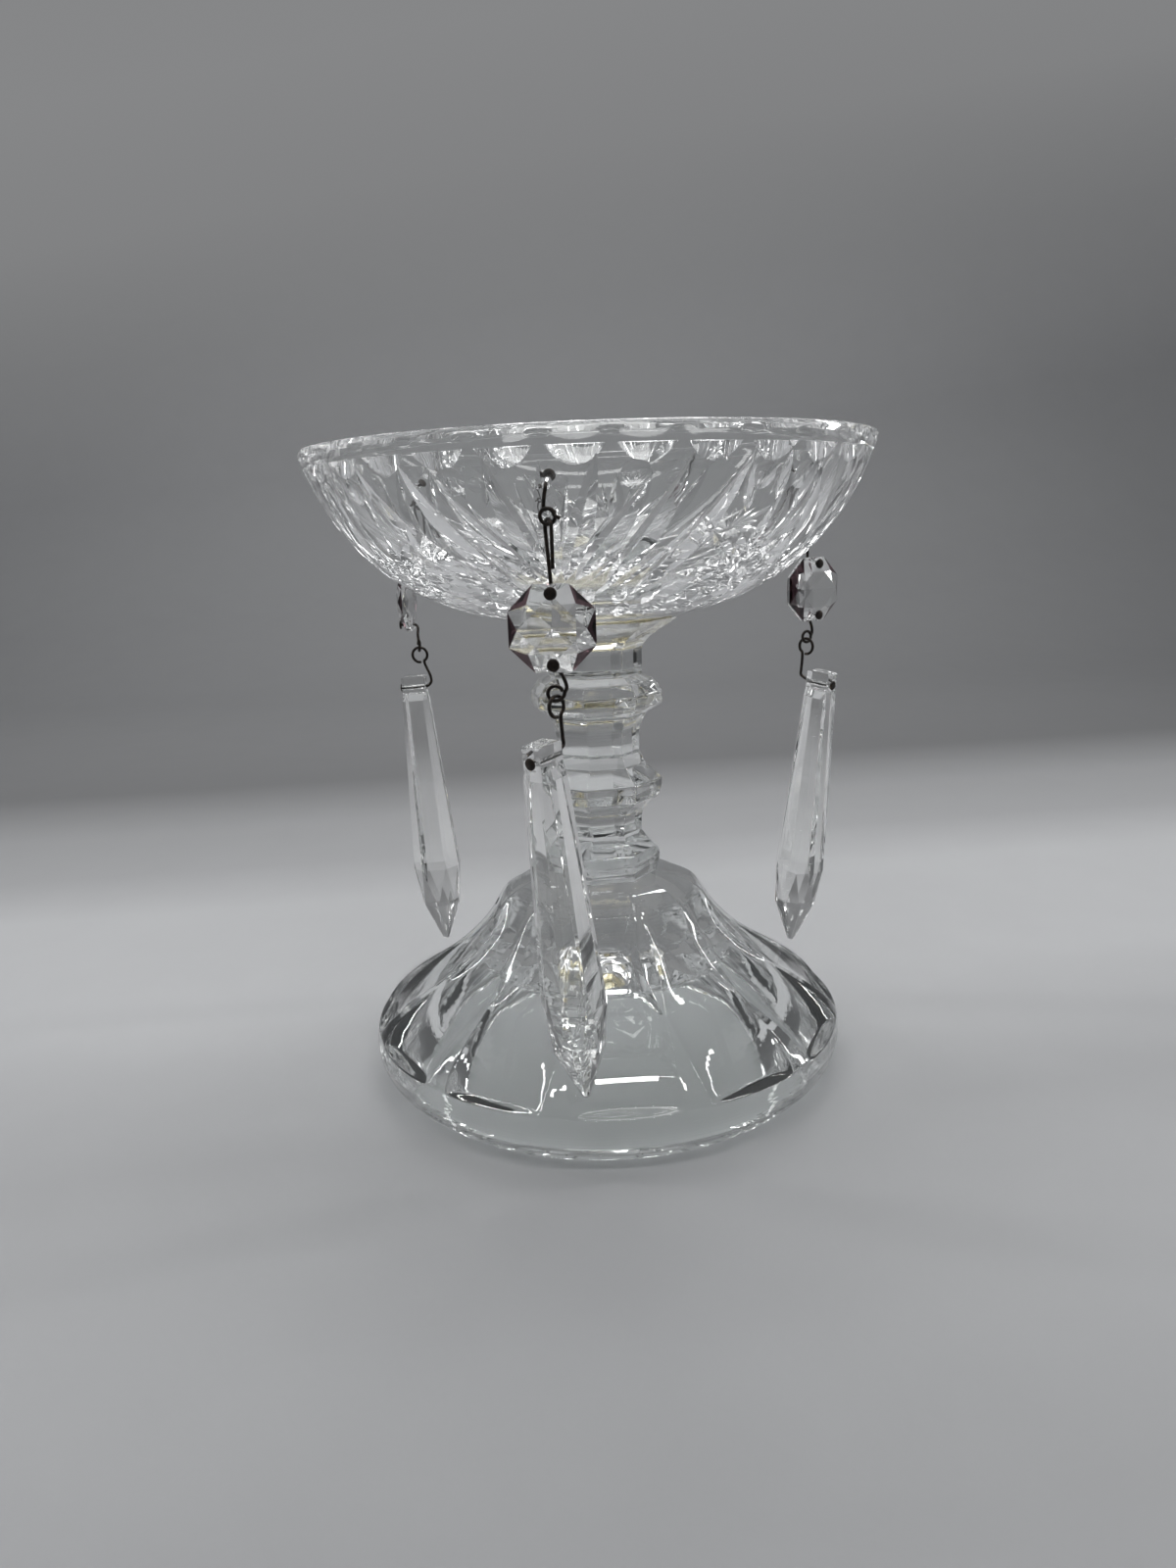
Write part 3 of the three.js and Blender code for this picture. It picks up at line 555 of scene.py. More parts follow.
# The blank takes only some of the outer wall's points, which lie close together for the cuts
OUTER_WALL = bezier(OUTER_START, OUTER_PULL, OUTER_END, 400)
INNER_WALL = bezier(INNER_START, INNER_PULL, INNER_END, 60)
BLANK_STEP = 6
BLANK_SEGMENTS = 360
WALL_END = RIM_RADIUS - 0.01
# The eased rim as radius and height, from outside to inside, and the height at which the inner wall meets it
RIM = [(RIM_RADIUS, 148.9), (RIM_RADIUS, 149.4), (RIM_RADIUS - 0.08, 149.75), (RIM_RADIUS - 0.3, 149.95),
       (RIM_RADIUS - 0.6, 150), (62.2, 150), (61.7, 149.95), (61.4, 149.75), (61.2, 149.4)]
RIM_JOIN = 149.2
# Where the rim's scallops start, the height over which they come in, and the radius inside which none are
SCALLOP_START = 148.4
SCALLOP_EASE = 0.4
SCALLOP_RADIUS = 61.9


def on_wall(azimuth, radius):
    """Point on the bowl's outer wall and the direction out of it there."""
    k = int(np.searchsorted(OUTER_WALL[:, 0], min(radius, WALL_END)))
    k = min(max(k, 1), len(OUTER_WALL) - 1)
    run, rise = OUTER_WALL[k] - OUTER_WALL[k - 1]
    share = (radius - OUTER_WALL[k - 1, 0]) / run
    height = OUTER_WALL[k - 1, 1] + rise * min(share, 1)
    length = math.hypot(run, rise)
    out = facing(azimuth)
    point = out * min(radius, WALL_END) + UP * height
    return point, out * (rise / length) - UP * (run / length)


def bowl_blank():
    """The turned bowl before cutting, with its rim a little scalloped over the half moons."""
    inside = [point for point in INNER_WALL[::-1] if point[1] < RIM_JOIN]
    profile = [(AXIS, BOWL_BOTTOM), *OUTER_WALL[::BLANK_STEP], *RIM, *inside, (AXIS, BOWL_FLOOR)]
    points, faces = revolve(profile, BLANK_SEGMENTS, FIRST_MOON + MOON_TURN / 2)
    radius = np.hypot(points[:, 0], points[:, 1])
    azimuth = np.degrees(np.arctan2(points[:, 0], -points[:, 1]))
    across = ((azimuth - FIRST_MOON + MOON_TURN / 2) / MOON_TURN) % 1 * 2 - 1
    on_band = np.clip((points[:, 2] - SCALLOP_START) / SCALLOP_EASE, 0, 1) * (radius > SCALLOP_RADIUS)
    points[:, :2] *= (1 - RIM_DIP * (1 - across ** 2) / RIM_RADIUS * on_band)[:, None]
    return mesh_object("bowl_fine", points, faces, BOWL_GLASS)


# How far the waste of a wheel's cut stands out of the wall, and the least height of its section
WASTE_RISE = 0.45
WASTE_LEAST = 0.02
# Wheels by what they cut, as depth and half of the angle of their edge
LEAF_WHEEL = (1.5, 60)
LINE_WHEEL = (0.55, 50)
PETAL_WHEEL = (1.0, 58)
RAY_WHEEL = (1.15, 56)
SPRAY_WHEEL = (1.0, 56)
THIN_STATIONS = 8


def mitre(start, end, wheel, stations=14):
    """Waste of one V-edged wheel cut between two places on the wall, each an azimuth and a radius."""
    depth, half_angle = wheel
    reach = math.sqrt(1 + WASTE_RISE / depth)
    spread = math.tan(math.radians(half_angle))

    def place(t):
        share = (1 + t) / 2
        return on_wall(start[0] + (end[0] - start[0]) * share, start[1] + (end[1] - start[1]) * share)

    along = (place(0.1)[0] - place(-0.1)[0]).normalized()
    across = along.cross(place(0)[1]).normalized()
    points = []
    for k in range(1, stations + 1):
        t = reach * math.sin(math.pi * (k / (stations + 1) - 0.5))
        point, normal = place(t)
        height = min(depth * (t * t - 1), WASTE_RISE - WASTE_LEAST)
        width = (WASTE_RISE - height) * spread
        ledge = point + normal * WASTE_RISE
        points += [point + normal * height, ledge - across * width, ledge + across * width]
    for t in (-reach, reach):
        point, normal = place(t)
        points.append(point + normal * WASTE_RISE)
    faces = []
    first, last = len(points) - 2, len(points) - 5
    for k in range(3):
        after = (k + 1) % 3
        faces.append((first, after, k))
        faces.append((first + 1, last + k, last + after))
        for station in range(stations - 1):
            a, b = station * 3 + k, station * 3 + after
            faces.append((a, b, b + 3, a + 3))
    return points, faces


MOON_ROLLER = 13.0
MOON_DEPTH = 2.3
MOON_BOTTOM = 140.2
MOON_TOP = 146.2
ROLLER_STEP = 2.5
BALL_ROWS = 48
BALL_COLUMNS = 96
BALL_POLE = 0.001


def moon_roller(azimuth):
    """Upright roller that cuts one half moon."""
    middle = facing(azimuth) * (RIM_RADIUS - MOON_DEPTH + MOON_ROLLER)
    turns = np.radians(np.arange(0, 360, ROLLER_STEP))
    circle = np.stack([np.cos(turns), np.sin(turns)], 1) * MOON_ROLLER + np.array(middle[:2])
    return capped([np.column_stack([circle, np.full(len(circle), z)]) for z in (MOON_BOTTOM, MOON_TOP)])


def ball(centre, radius):
    climbs = np.linspace(BALL_POLE, math.pi - BALL_POLE, BALL_ROWS)
    rows = [(radius * math.sin(climb), -radius * math.cos(climb)) for climb in climbs]
    points, faces = revolve(rows, BALL_COLUMNS)
    return points + np.array(centre), faces


def rod(start, end, radius, sides=24):
    axis = (end - start).normalized()
    side = axis.orthogonal().normalized()
    other = axis.cross(side)
    turns = np.linspace(0, 2 * math.pi, sides, False)
    ring = [side * math.cos(turn) * radius + other * math.sin(turn) * radius for turn in turns]
    return capped([[start + p for p in ring], [end + p for p in ring]])


# A palm's leaves and the thin lines between them: turn from its middle and radius, at the foot and the tip
LEAVES = [(0, 47, 0, 62.6), (1.6, 46, 9.5, 63.2), (4, 46, 18, 60.6), (11, 44, 26, 63.2),
          (18.5, 41, 37, 63.2)]
LINES = [(1, 50, 4.5, 61), (3, 49, 13, 58.5), (8, 46, 21.5, 58), (14, 43, 30, 58), (24, 47, 34, 56),
         (8, 41, 15, 47)]
PETALS = 30
PETAL_FOOT = 28
PETAL_TIP = 38.5
# A star's rays: how far they go sideways in degrees and up and down in radius, the share of that which every
# other ray has, and the share at which they start
STAR_RAYS = 16
STAR_RADIUS = 47
STAR_SWEEP = 17
STAR_CLIMB = 11
SHORT_RAY = 0.72
RAY_START = 0.1
# Spray over a star, as turn and radius at the foot and the tip
SPRAY = [(-6, 57, -8, 62.5), (0, 58.5, 0, 63), (6, 57, 8, 62.5)]
# Lenses as turn from the palm's middle and radius, and the ball that cuts them from outside the wall
LENSES = [(-16, 61.3), (16, 61.3), (-40, 61), (40, 61)]
LENS_BALL = 8
LENS_DISTANCE = 7.4
HOOK_BORE = 0.75
BORE_INWARD = 9
BORE_OUTWARD = 5


def bowl():
    """The blank with its half moons, palms, petals, stars and lenses, and with the hooks' holes."""
    piece = bowl_blank()
    palms = [FIRST_MOTIF + k * MOTIF_TURN for k in range(MOTIFS)]
    moon_cuts(piece)
    palm_cuts(piece, palms)
    petal_cuts(piece)
    star_cuts(piece, [palm + MOTIF_TURN / 2 for palm in palms])
    lens_cuts(piece, palms)
    hook_holes(piece)
    shade(piece, BOWL_SHARP)
    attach(piece, "stand")
    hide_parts("bowl")


def cut(piece, cutters):
    boolean(piece, cutters, BOWL_GLASS)


def moon_cuts(piece):
    """Every other moon in one cut, because neighbouring rollers touch, and the last one by itself."""
    for start, count in ((0, MOONS - 1), (1, MOONS - 1), (MOONS - 1, MOONS)):
        cut(piece, [moon_roller(FIRST_MOON + k * MOON_TURN) for k in range(start, count, 2)])


def palm_cuts(piece, palms):
    """Leaves and thin lines on both sides of each palm's middle, the same one of every palm in one cut."""
    for cuts, wheel in ((LEAVES, LEAF_WHEEL), (LINES, LINE_WHEEL)):
        for foot, low, tip, high in cuts:
            for side in (-1, 1) if tip else (1,):
                cut(piece, [mitre((palm + side * foot, low), (palm + side * tip, high), wheel)
                            for palm in palms])


def petal_cuts(piece):
    """A ring of petals round the bowl's bottom."""
    turns = [FIRST_MOTIF + (k + 0.5) * 360 / PETALS for k in range(PETALS)]
    cut(piece, [mitre((turn, PETAL_FOOT), (turn, PETAL_TIP), PETAL_WHEEL) for turn in turns])


def star_cuts(piece, stars):
    """A star of thin rays between each two palms, with a small spray over it."""
    for k in range(STAR_RAYS):
        turn = 2 * math.pi * k / STAR_RAYS
        share = 1 if k % 2 == 0 else SHORT_RAY
        sweep, climb = math.sin(turn) * STAR_SWEEP * share, math.cos(turn) * STAR_CLIMB * share
        cut(piece, [mitre((star + sweep * RAY_START, STAR_RADIUS + climb * RAY_START),
                          (star + sweep, STAR_RADIUS + climb), RAY_WHEEL, THIN_STATIONS) for star in stars])
    for foot, low, tip, high in SPRAY:
        cut(piece, [mitre((star + foot, low), (star + tip, high), SPRAY_WHEEL, THIN_STATIONS)
                    for star in stars])


def lens_cuts(piece, palms):
    """Small round hollows between the upper leaves."""
    lenses = []
    for palm in palms:
        for turn, radius in LENSES:
            point, normal = on_wall(palm + turn, radius)
            lenses.append(ball(point + normal * LENS_DISTANCE, LENS_BALL))
    cut(piece, lenses)


def hook_hole(place):
    """Where a hook's hole leaves the wall and its direction there."""
    spot = on_wall(place, HOOK_RADIUS)[0]
    slope = math.radians(HOOK_SLOPE)
    return spot, facing(place) * math.cos(slope) - UP * math.sin(slope)


def hook_holes(piece):
    holes = []
    for pendant in PENDANTS:
        spot, along = hook_hole(pendant["place"])
        holes.append(rod(spot - along * BORE_INWARD, spot + along * BORE_OUTWARD, HOOK_BORE))
    cut(piece, holes)


# Pins

PIN_SHARP = 50
SPAN_POINTS = 7
WIRE_SIDES = 14
# The wire's rounded end: its length and its width as shares of the wire's radius
END_LENGTH = 0.4
END_WIDTH = 0.6
# A pin's head, flat and a little domed with a soft edge, as radius and height
HEAD = [(AXIS, -0.02), (0.9, -0.02), (1.12, 0.06), (PIN_HEAD / 2, 0.22), (1.15, 0.38), (0.95, 0.48),
        (0.5, 0.56), (AXIS, 0.58)]
HEAD_SIDES = 40
# The hook's shank along its hole, from its head to outside the wall
HOOK_SHANK = (-5.6, -2.5, 0.55)
# The hook's ring, which turns more than once round in degrees
RING_START = 115
RING_SWEEP = 470
RING_POINTS = 16
# How far the ring steps forward to pass itself, and the part of it over which it does
RING_FORWARD = 0.8
RING_STEP = (0.55, 0.8)
# The short tail of the ring, to the side and down
TAIL_SIDE = 0.9
TAIL_DROP = 0.5
# The hanger's turn from its pendant's place, the points over its bend, and its loose leg
HANGER_TURN = 35
HANGER_POINTS = 8
HANGER_LEG = 7.4
HANGER_LEAN = 0.1
# The eyes of the lower pins, each by the degrees at which it starts and that it turns
EYE_POINTS = 14
OCTAGON_EYE = (5, -345)
PRISM_EYE = (-60, 330)
# How far behind and how wide the octagon pin's eye starts
EYE_BEHIND = 0.4
EYE_WIDEN = 0.35
# How far before the hole's middle the prism pin has its head, and behind it its bend
PRISM_PIN_HEAD = 3.3
PRISM_PIN_BEND = -4.1


def smooth_line(places):
    """Centripetal curve through the given places."""
    points = [Vector(p) for p in places]
    points = [points[0] * 2 - points[1]] + points + [points[-1] * 2 - points[-2]]
    line = []
    for k in range(1, len(points) - 2):
        p0, p1, p2, p3 = points[k - 1:k + 3]
        t0 = 0.0
        t1 = t0 + (p1 - p0).length ** 0.5
        t2 = t1 + (p2 - p1).length ** 0.5
        t3 = t2 + (p3 - p2).length ** 0.5
        for step in range(SPAN_POINTS):
            t = t1 + (t2 - t1) * step / SPAN_POINTS
            a1 = p0.lerp(p1, (t - t0) / (t1 - t0))
            a2 = p1.lerp(p2, (t - t1) / (t2 - t1))
            a3 = p2.lerp(p3, (t - t2) / (t3 - t2))
            b1 = a1.lerp(a2, (t - t0) / (t2 - t0))
            b2 = a2.lerp(a3, (t - t1) / (t3 - t1))
            line.append(b1.lerp(b2, (t - t1) / (t2 - t1)))
    line.append(points[-2])
    return line


def tube(line, radius):
    """Solid wire along a line, with a slightly rounded end."""
    direction = (line[1] - line[0]).normalized()
    side = direction.orthogonal().normalized()
    turns = [2 * math.pi * s / WIRE_SIDES for s in range(WIRE_SIDES)]
    rings = []
    for k, point in enumerate(line):
        ahead = line[min(k + 1, len(line) - 1)] - line[max(k - 1, 0)]
        direction = ahead.normalized()
        side = (side - direction * side.dot(direction)).normalized()
        other = direction.cross(side)
        rings.append([point + (side * math.cos(t) + other * math.sin(t)) * radius for t in turns])
    tip = line[-1] + direction * radius * END_LENGTH
    rings.append([tip + (p - line[-1]) * END_WIDTH for p in rings[-1]])
    return capped(rings)


def head(point, outward):
    points, faces = revolve(HEAD, HEAD_SIDES)
    turn = UP.rotation_difference(outward).to_matrix()
    return [turn @ Vector(p) + point for p in points], faces


def pin(name, places, outward):
    """A bent pin along the given places, which rides on its own body, with its head on the first of them."""
    wire_points, wire_faces = tube(smooth_line(places), WIRE / 2)
    head_points, head_faces = head(places[0], outward)
    offset = len(wire_points)
    points = [tuple(p) for p in wire_points] + [tuple(p) for p in head_points]
    faces = wire_faces + [tuple(i + offset for i in face) for face in head_faces]
    piece = mesh_object(f"{name}_fine", points, faces, [METAL], PIN_SHARP)
    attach(piece, name)
    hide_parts(name)


def hook(pendant):
    """Through the bowl's wall, bent down outside and curled into a ring."""
    spot, along = hook_hole(pendant["place"])
    out, side = facing(pendant["place"]), facing(pendant["place"] + 90)
    centre = out * RING_LINK_RADIUS + UP * (RING_LINK_HEIGHT + RING_RADIUS)
    places = [spot + along * reach for reach in HOOK_SHANK]
    for k in range(RING_POINTS + 1):
        turn = math.radians(RING_START - RING_SWEEP * k / RING_POINTS)
        forward = RING_FORWARD * smoothstep(k / RING_POINTS, *RING_STEP)
        aside, rise = side * RING_RADIUS * math.cos(turn), UP * RING_RADIUS * math.sin(turn)
        places.append(centre + aside + rise + out * forward)
    places.append(places[-1] + side * TAIL_SIDE - UP * TAIL_DROP)
    pin(f"{pendant['name']}_hook", places, -along)


def hanger(pendant):
    """From its head in front of the octagon through the top hole, up behind and over the hook's ring."""
    link = facing(pendant["place"]) * RING_LINK_RADIUS
    face, apart = facing(pendant["octagon"]), facing(pendant["place"] + HANGER_TURN)
    hole = OCTAGON_HEIGHT + OCTAGON_HOLE
    drop = OCTAGON_AHEAD - DROP_BEHIND
    bend = RING_LINK_HEIGHT + LINK_RISE - HANGER_HALF
    steps = [(OCTAGON_AHEAD + HEAD_FRONT, 0), (OCTAGON_AHEAD, 0), (OCTAGON_AHEAD - OCTAGON_BACK, 0.08),
             (drop, 0.9), (drop, 2.2)]
    places = [link + face * ahead + UP * (hole + rise) for ahead, rise in steps]
    for k in range(HANGER_POINTS + 1):
        turn = math.pi * (1 - k / HANGER_POINTS)
        rise = bend + HANGER_HALF * math.sin(turn)
        places.append(link + apart * HANGER_HALF * math.cos(turn) + UP * rise)
    places.append(link + apart * (HANGER_HALF - HANGER_LEAN) + UP * (bend - HANGER_LEG))
    pin(f"{pendant['name']}_hanger", places, face)


def octagon_pin(pendant):
    """From its head through the octagon's bottom hole, bowed down behind and curled into an eye."""
    link = facing(pendant["place"]) * RING_LINK_RADIUS
    face, side = facing(pendant["octagon"]), facing(pendant["octagon"] + 90)
    hole = OCTAGON_HEIGHT - OCTAGON_HOLE
    drop = OCTAGON_AHEAD - DROP_BEHIND
    eye = EYE_LINK_HEIGHT + EYE_RADIUS
    steps = [(OCTAGON_AHEAD + HEAD_FRONT, 0, hole), (OCTAGON_AHEAD, 0, hole),
             (OCTAGON_AHEAD - OCTAGON_BACK, 0.02, hole - 0.08), (drop - 0.05, 0.3, hole - 0.9),
             (drop - 0.1, 1.5, hole - 2.6), (drop - 0.4, 2.15, eye + 0.9)]
    start, sweep = OCTAGON_EYE
    for k in range(EYE_POINTS + 1):
        turn = math.radians(start + sweep * k / EYE_POINTS)
        behind = EYE_BEHIND * (1 - smoothstep(k / EYE_POINTS, 0, 0.25))
        widen = EYE_WIDEN * (1 - smoothstep(k / EYE_POINTS, 0, 0.3))
        aside = (EYE_RADIUS + widen) * math.cos(turn)
        steps.append((drop - behind, aside, eye + EYE_RADIUS * math.sin(turn)))
    places = [link + face * ahead + side * aside + UP * height for ahead, aside, height in steps]
    pin(f"{pendant['name']}_octagon_pin", places, face)


def prism_frame(pendant):
    """Matrix of the prism's own frame, from its hole, and how far its eye stands behind the hole."""
    ahead = facing(pendant["prism"])
    behind_octagon = facing(pendant["octagon"]) * (OCTAGON_AHEAD - DROP_BEHIND)
    link = facing(pendant["place"]) * RING_LINK_RADIUS + behind_octagon + UP * EYE_LINK_HEIGHT
    tilt = math.radians(pendant["lean"])
    back = math.tan(tilt) * (PRISM_HOLE_DROP + PRISM_MASS_DROP)
    hole = link + ahead * (math.cos(tilt) * back - math.sin(tilt) * PRISM_HOLE_DROP)
    hole -= UP * (math.sin(tilt) * back + math.cos(tilt) * PRISM_HOLE_DROP)
    level = ahead * math.cos(tilt) - UP * math.sin(tilt)
    up = UP * math.cos(tilt) + ahead * math.sin(tilt)
    matrix = Matrix((level.cross(up), level, up)).transposed().to_4x4()
    matrix.translation = hole
    return matrix, back


def prism_pin(pendant):
    """From its head through the prism's hole, bent up behind the prism and curled into an eye."""
    matrix, back = prism_frame(pendant)
    eye = PRISM_HOLE_DROP + LINK_RISE - PRISM_EYE_RADIUS
    bow = min(PRISM_PIN_BEND - 0.5, -back - 0.6)
    steps = [(PRISM_PIN_HEAD, 0), (0, 0), (PRISM_PIN_BEND + 0.5, 0.05), (bow, 1.0), (bow - 0.1, 2.4)]
    start, sweep = PRISM_EYE
    for k in range(EYE_POINTS + 1):
        turn = math.radians(start + sweep * k / EYE_POINTS)
        steps.append((-back - PRISM_EYE_RADIUS * math.cos(turn), eye + PRISM_EYE_RADIUS * math.sin(turn)))
    places = [matrix @ Vector((0, ahead, height)) for ahead, height in steps]
    pin(f"{pendant['name']}_prism_pin", places, (matrix.to_3x3() @ Vector((0, 1, 0))).normalized())


# The octagons' facets that get a painted dark reflection, by the cosine of their slant to the face, and the
# most they look up or down
SLANT = (0.7, 0.86)
LOOKS_UP = 0.5


def crystals():
    """The cut crystals keep their solids, with flat facets; the octagons' slanted facets get a painted dark
    reflection.
    """
    for pendant in PENDANTS:
        for kind in ("octagon", "prism"):
            obj = frame["nodes"][f"{pendant['name']}_{kind}"]
            obj.data.materials.clear()
            obj.data.materials.append(CRYSTAL)
            obj.data.materials.append(CRYSTAL_PAINTED_DARK_REFLECTION)
            obj.data.polygons.foreach_set("use_smooth", [False] * len(obj.data.polygons))
            turn = obj.matrix_world.to_3x3()
            for facet in obj.data.polygons:
                normal = (turn @ facet.normal).normalized()
                to_face = abs(normal.dot(facing(pendant["octagon"])))
                slanted = SLANT[0] < to_face < SLANT[1] and abs(normal.z) < LOOKS_UP
                # Slanted facets of the octagons take the painted dark reflection
                facet.material_index = int(kind == "octagon" and slanted)


# Studio

# The paper: half of its width, the front and back of its level part, the radius of its bend and its top
PAPER_HALF_WIDTH = 0.85
PAPER_FRONT = -0.5
PAPER_BACK = 0.62
PAPER_BEND = 0.45
PAPER_TOP = 1.2
# Steps of the paper's level part, its bend and its wall, and columns of points across
LEVEL_STEPS = 16
BEND_STEPS = 23
WALL_STEPS = 8
PAPER_COLUMNS = 9
PAPER_SHARP = 80
# Which way the paper's tones run: along the floor, up the wall and a little aside
TONES_RUN = (-0.13, 1, 1)
# Grey of the paper by its distance along the sweep, from the front edge up the wall. These greys are painted
# light and shade, standing in for how the studio light falls along the floor and up the wall
PAPER_PAINTED_LIGHT_TONES = [(-0.50, 0.27), (-0.142, 0.283), (-0.111, 0.308), (-0.074, 0.313), (-0.038, 0.296),
               (0.044, 0.37), (0.134, 0.369), (0.188, 0.28), (0.253, 0.257), (0.343, 0.155), (0.651, 0.251),
               (0.93, 0.347), (1.231, 0.483), (1.454, 0.69), (1.609, 0.85), (1.73, 0.9)]
# Where the wall goes over to showing its grey as written, and that grey, by the same distance
WALL_SHOWS = (1.25, 1.6)
WALL_TONES = [(1.25, 0.165), (1.45, 0.186), (1.61, 0.222), (1.75, 0.24)]
FIBRE = {"scale": 40, "detail": 4}
FIBRE_TONES = [(0.3, grey(0.98)), (0.7, grey(1.0))]


def studio():
    """A seamless sweep of paper: a pale floor that rises into a back wall."""
    level, rise = PAPER_BACK - PAPER_FRONT, PAPER_TOP - PAPER_BEND
    line = [(PAPER_FRONT + level * k / LEVEL_STEPS, 0.0) for k in range(LEVEL_STEPS + 1)]
    line += [(PAPER_BACK + PAPER_BEND * math.sin(turn), PAPER_BEND - PAPER_BEND * math.cos(turn))
             for turn in np.linspace(0, math.pi / 2, BEND_STEPS + 1)[1:]]
    line += [(PAPER_BACK + PAPER_BEND, PAPER_BEND + rise * k / WALL_STEPS) for k in range(1, WALL_STEPS + 1)]
    columns = np.linspace(-PAPER_HALF_WIDTH, PAPER_HALF_WIDTH, PAPER_COLUMNS)
    points = [(x, y, z) for y, z in line for x in columns]
    faces = grid_faces(len(line), PAPER_COLUMNS, False)
    sweep = mesh_object("backdrop", np.array(points) / MM, faces, [backdrop_paper()], PAPER_SHARP)


def tone_along(tree, along, tones):
    """Grey, a little cool, by the distance along the paper."""
    low, high = tones[0][0], tones[-1][0]
    stops = [((at - low) / (high - low), (value * 0.99, value, value * 1.02)) for at, value in tones]
    return ramp(tree, share_between(tree, along, low, high), stops)


def backdrop_paper():
    """Paper whose grey, painted with the light and shade of the sweep, follows it along the floor and up the
    wall.
    """
    material, tree, shader = principled("backdrop_paper", {"Roughness": 0.9, "Specular IOR Level": 0.1})
    place = tree.nodes.new("ShaderNodeTexCoord")
    product = node(tree, "ShaderNodeVectorMath", operation="DOT_PRODUCT")
    product.inputs[1].default_value = TONES_RUN
    tree.links.new(place.outputs["Object"], product.inputs[0])
    along = product.outputs["Value"]
    fibre = ramp(tree, object_noise(tree, **FIBRE), FIBRE_TONES)
    # The paper's colour carries the painted light and shade of the sweep
    colour = multiplied_colours(tree, tone_along(tree, along, PAPER_PAINTED_LIGHT_TONES), fibre)
    tree.links.new(colour, shader.inputs["Base Color"])
    lit_wall(tree, shader, along)
    return material


def lit_wall(tree, shader, along):
    """High up the wall, what the camera sees, also in and through glass, is the wall's grey as written."""
    rays = tree.nodes.new("ShaderNodeLightPath")
    seen = rays.outputs["Is Camera Ray"]
    for name in ("Is Glossy Ray", "Is Transmission Ray"):
        seen = calculated(tree, "MAXIMUM", seen, rays.outputs[name])
    amount = calculated(tree, "MULTIPLY", seen, share_between(tree, along, *WALL_SHOWS))
    glow = tree.nodes.new("ShaderNodeEmission")
    tree.links.new(tone_along(tree, along, WALL_TONES), glow.inputs["Color"])
    blend_surface(tree, amount, shader.outputs["BSDF"], glow.outputs["Emission"])


# Light of the room by height over the horizon
SKY = [(0.0, (0.09, 0.092, 0.095)), (0.3, (0.11, 0.113, 0.117)), (0.6, (0.28, 0.285, 0.295)),
       (1.0, (0.46, 0.465, 0.475))]
# Between which levels of Y the photographer dims the room, and what is left of its light on the way
PHOTOGRAPHER = (-0.97, -0.6)
PHOTOGRAPHER_DIMS = [(0.0, grey(0.02)), (0.5, grey(0.3)), (1.0, grey(1.0))]


def world():
    """Dim room light that grows overhead, dark near the horizon and where the photographer stands."""
    made = bpy.data.worlds.new("room")
    made.use_nodes = True
    tree = made.node_tree
    place = tree.nodes.new("ShaderNodeTexCoord")
    split = tree.nodes.new("ShaderNodeSeparateXYZ")
    tree.links.new(place.outputs["Generated"], split.inputs["Vector"])
    sky = ramp(tree, share_between(tree, split.outputs["Z"], 0, 1), SKY)
    dim = ramp(tree, share_between(tree, split.outputs["Y"], *PHOTOGRAPHER), PHOTOGRAPHER_DIMS)
    tree.links.new(multiplied_colours(tree, sky, dim), tree.nodes["Background"].inputs["Color"])
    bpy.context.scene.world = made


# Lamps by name, place, the height on the axis that they face, width, height and power
LAMPS = [
    ("overhead", (0.05, 0.2, 0.85), 0.05, 0.5, 0.32, 2.6),
    ("front_tube", (0, -0.3, 0.62), 0.08, 0.6, 0.02, 1.7),
    ("back_tube", (0, 0.42, 0.66), 0.08, 0.6, 0.02, 1.7),
    ("left_strip", (-0.62, 0.1, 0.4), 0.08, 0.03, 0.5, 1.2),
    ("right_strip", (0.62, 0.1, 0.4), 0.08, 0.03, 0.5, 1.1),
]


def lamp(name, place, target_height, width, height, power):
    data = bpy.data.lights.new(name, "AREA")
    data.shape = "RECTANGLE"
    data.size = width
    data.size_y = height
    data.energy = power
    obj = bpy.data.objects.new(name, data)
    obj.location = place
    direction = Vector((0, 0, target_height)) - Vector(place)
    obj.rotation_mode = "QUATERNION"
    obj.rotation_quaternion = direction.to_track_quat("-Z", "Y")
    bpy.context.scene.collection.objects.link(obj)


# Camera

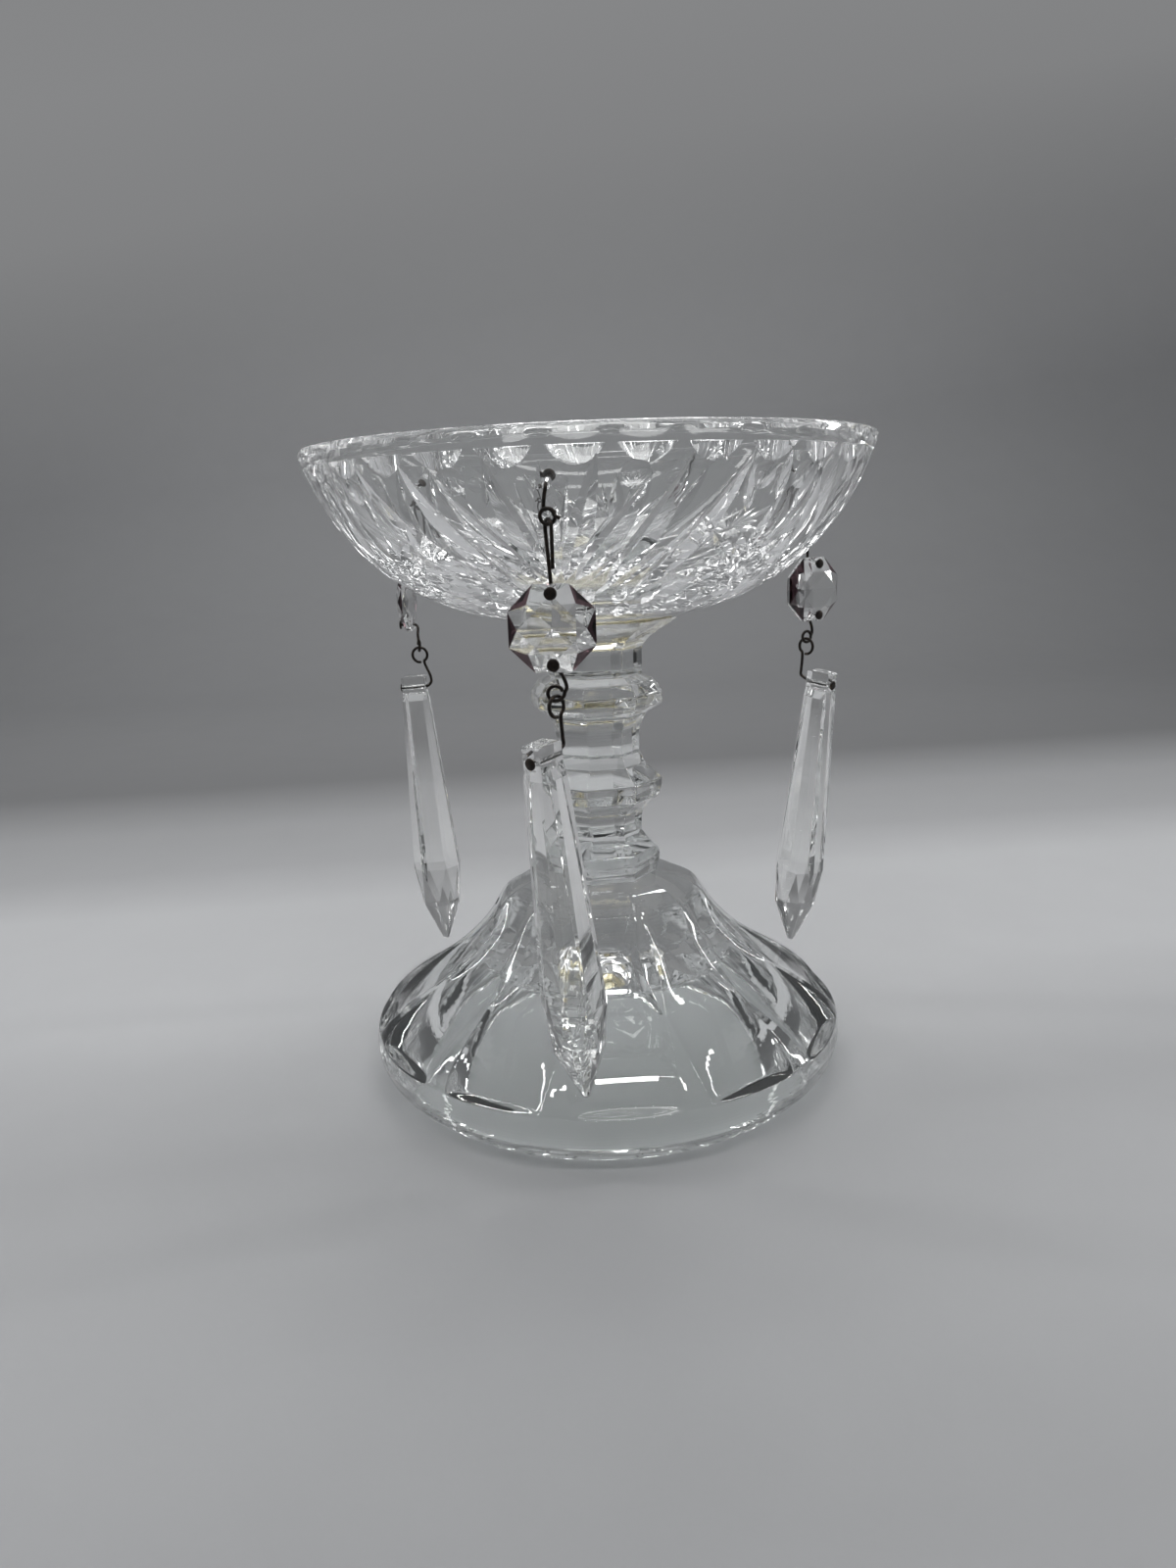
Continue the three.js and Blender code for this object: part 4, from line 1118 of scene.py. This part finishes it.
CAMERA_PLACE = (0, -0.2595, 0.1325)
CAMERA_PITCH = 13.42
CAMERA_ROLL = -2.01
CAMERA_YAW = -0.58
# The lens's length in the photograph's own pixels, and the photograph's long side
LENS_PIXELS = 1109
PHOTO_LONG_SIDE = 1600
SENSOR = 36
NEAREST = 0.01
# Light is reflected many times in cut glass before it gets out
GLASS_BOUNCES = 72
DIFFUSE_BOUNCES = 3
BRIGHTEST_BOUNCE = 6


def camera():
    """The photograph's camera: a 25 mm lens 26 cm away and a little over the bowl's floor."""
    pitch, roll, yaw = math.radians(CAMERA_PITCH), math.radians(CAMERA_ROLL), math.radians(CAMERA_YAW)
    ahead0 = Vector((0, math.cos(pitch), -math.sin(pitch)))
    up0 = Vector((0, math.sin(pitch), math.cos(pitch)))
    right0 = Vector((1, 0, 0))
    ahead = ahead0 * math.cos(yaw) + right0 * math.sin(yaw)
    right1 = right0 * math.cos(yaw) - ahead0 * math.sin(yaw)
    right = right1 * math.cos(roll) + up0 * math.sin(roll)
    up = up0 * math.cos(roll) - right1 * math.sin(roll)
    data = bpy.data.cameras.new("camera")
    data.sensor_width = SENSOR
    data.lens = SENSOR * LENS_PIXELS / PHOTO_LONG_SIDE
    data.clip_start = NEAREST
    obj = bpy.data.objects.new("camera", data)
    matrix = Matrix((right, up, -ahead)).transposed().to_4x4()
    matrix.translation = Vector(CAMERA_PLACE)
    obj.matrix_world = matrix
    bpy.context.scene.collection.objects.link(obj)
    bpy.context.scene.camera = obj


def rendering():
    scene = bpy.context.scene
    scene.view_settings.view_transform = "Standard"
    scene.cycles.max_bounces = GLASS_BOUNCES
    scene.cycles.transmission_bounces = GLASS_BOUNCES
    scene.cycles.glossy_bounces = GLASS_BOUNCES
    scene.cycles.diffuse_bounces = DIFFUSE_BOUNCES
    scene.cycles.sample_clamp_indirect = BRIGHTEST_BOUNCE
    scene.cycles.use_denoising = True


camera()
candlestick()
cement_disc()
bowl()
for pendant in PENDANTS:
    hook(pendant)
    hanger(pendant)
    octagon_pin(pendant)
    prism_pin(pendant)
crystals()
studio()
world()
for values in LAMPS:
    lamp(*values)
rendering()
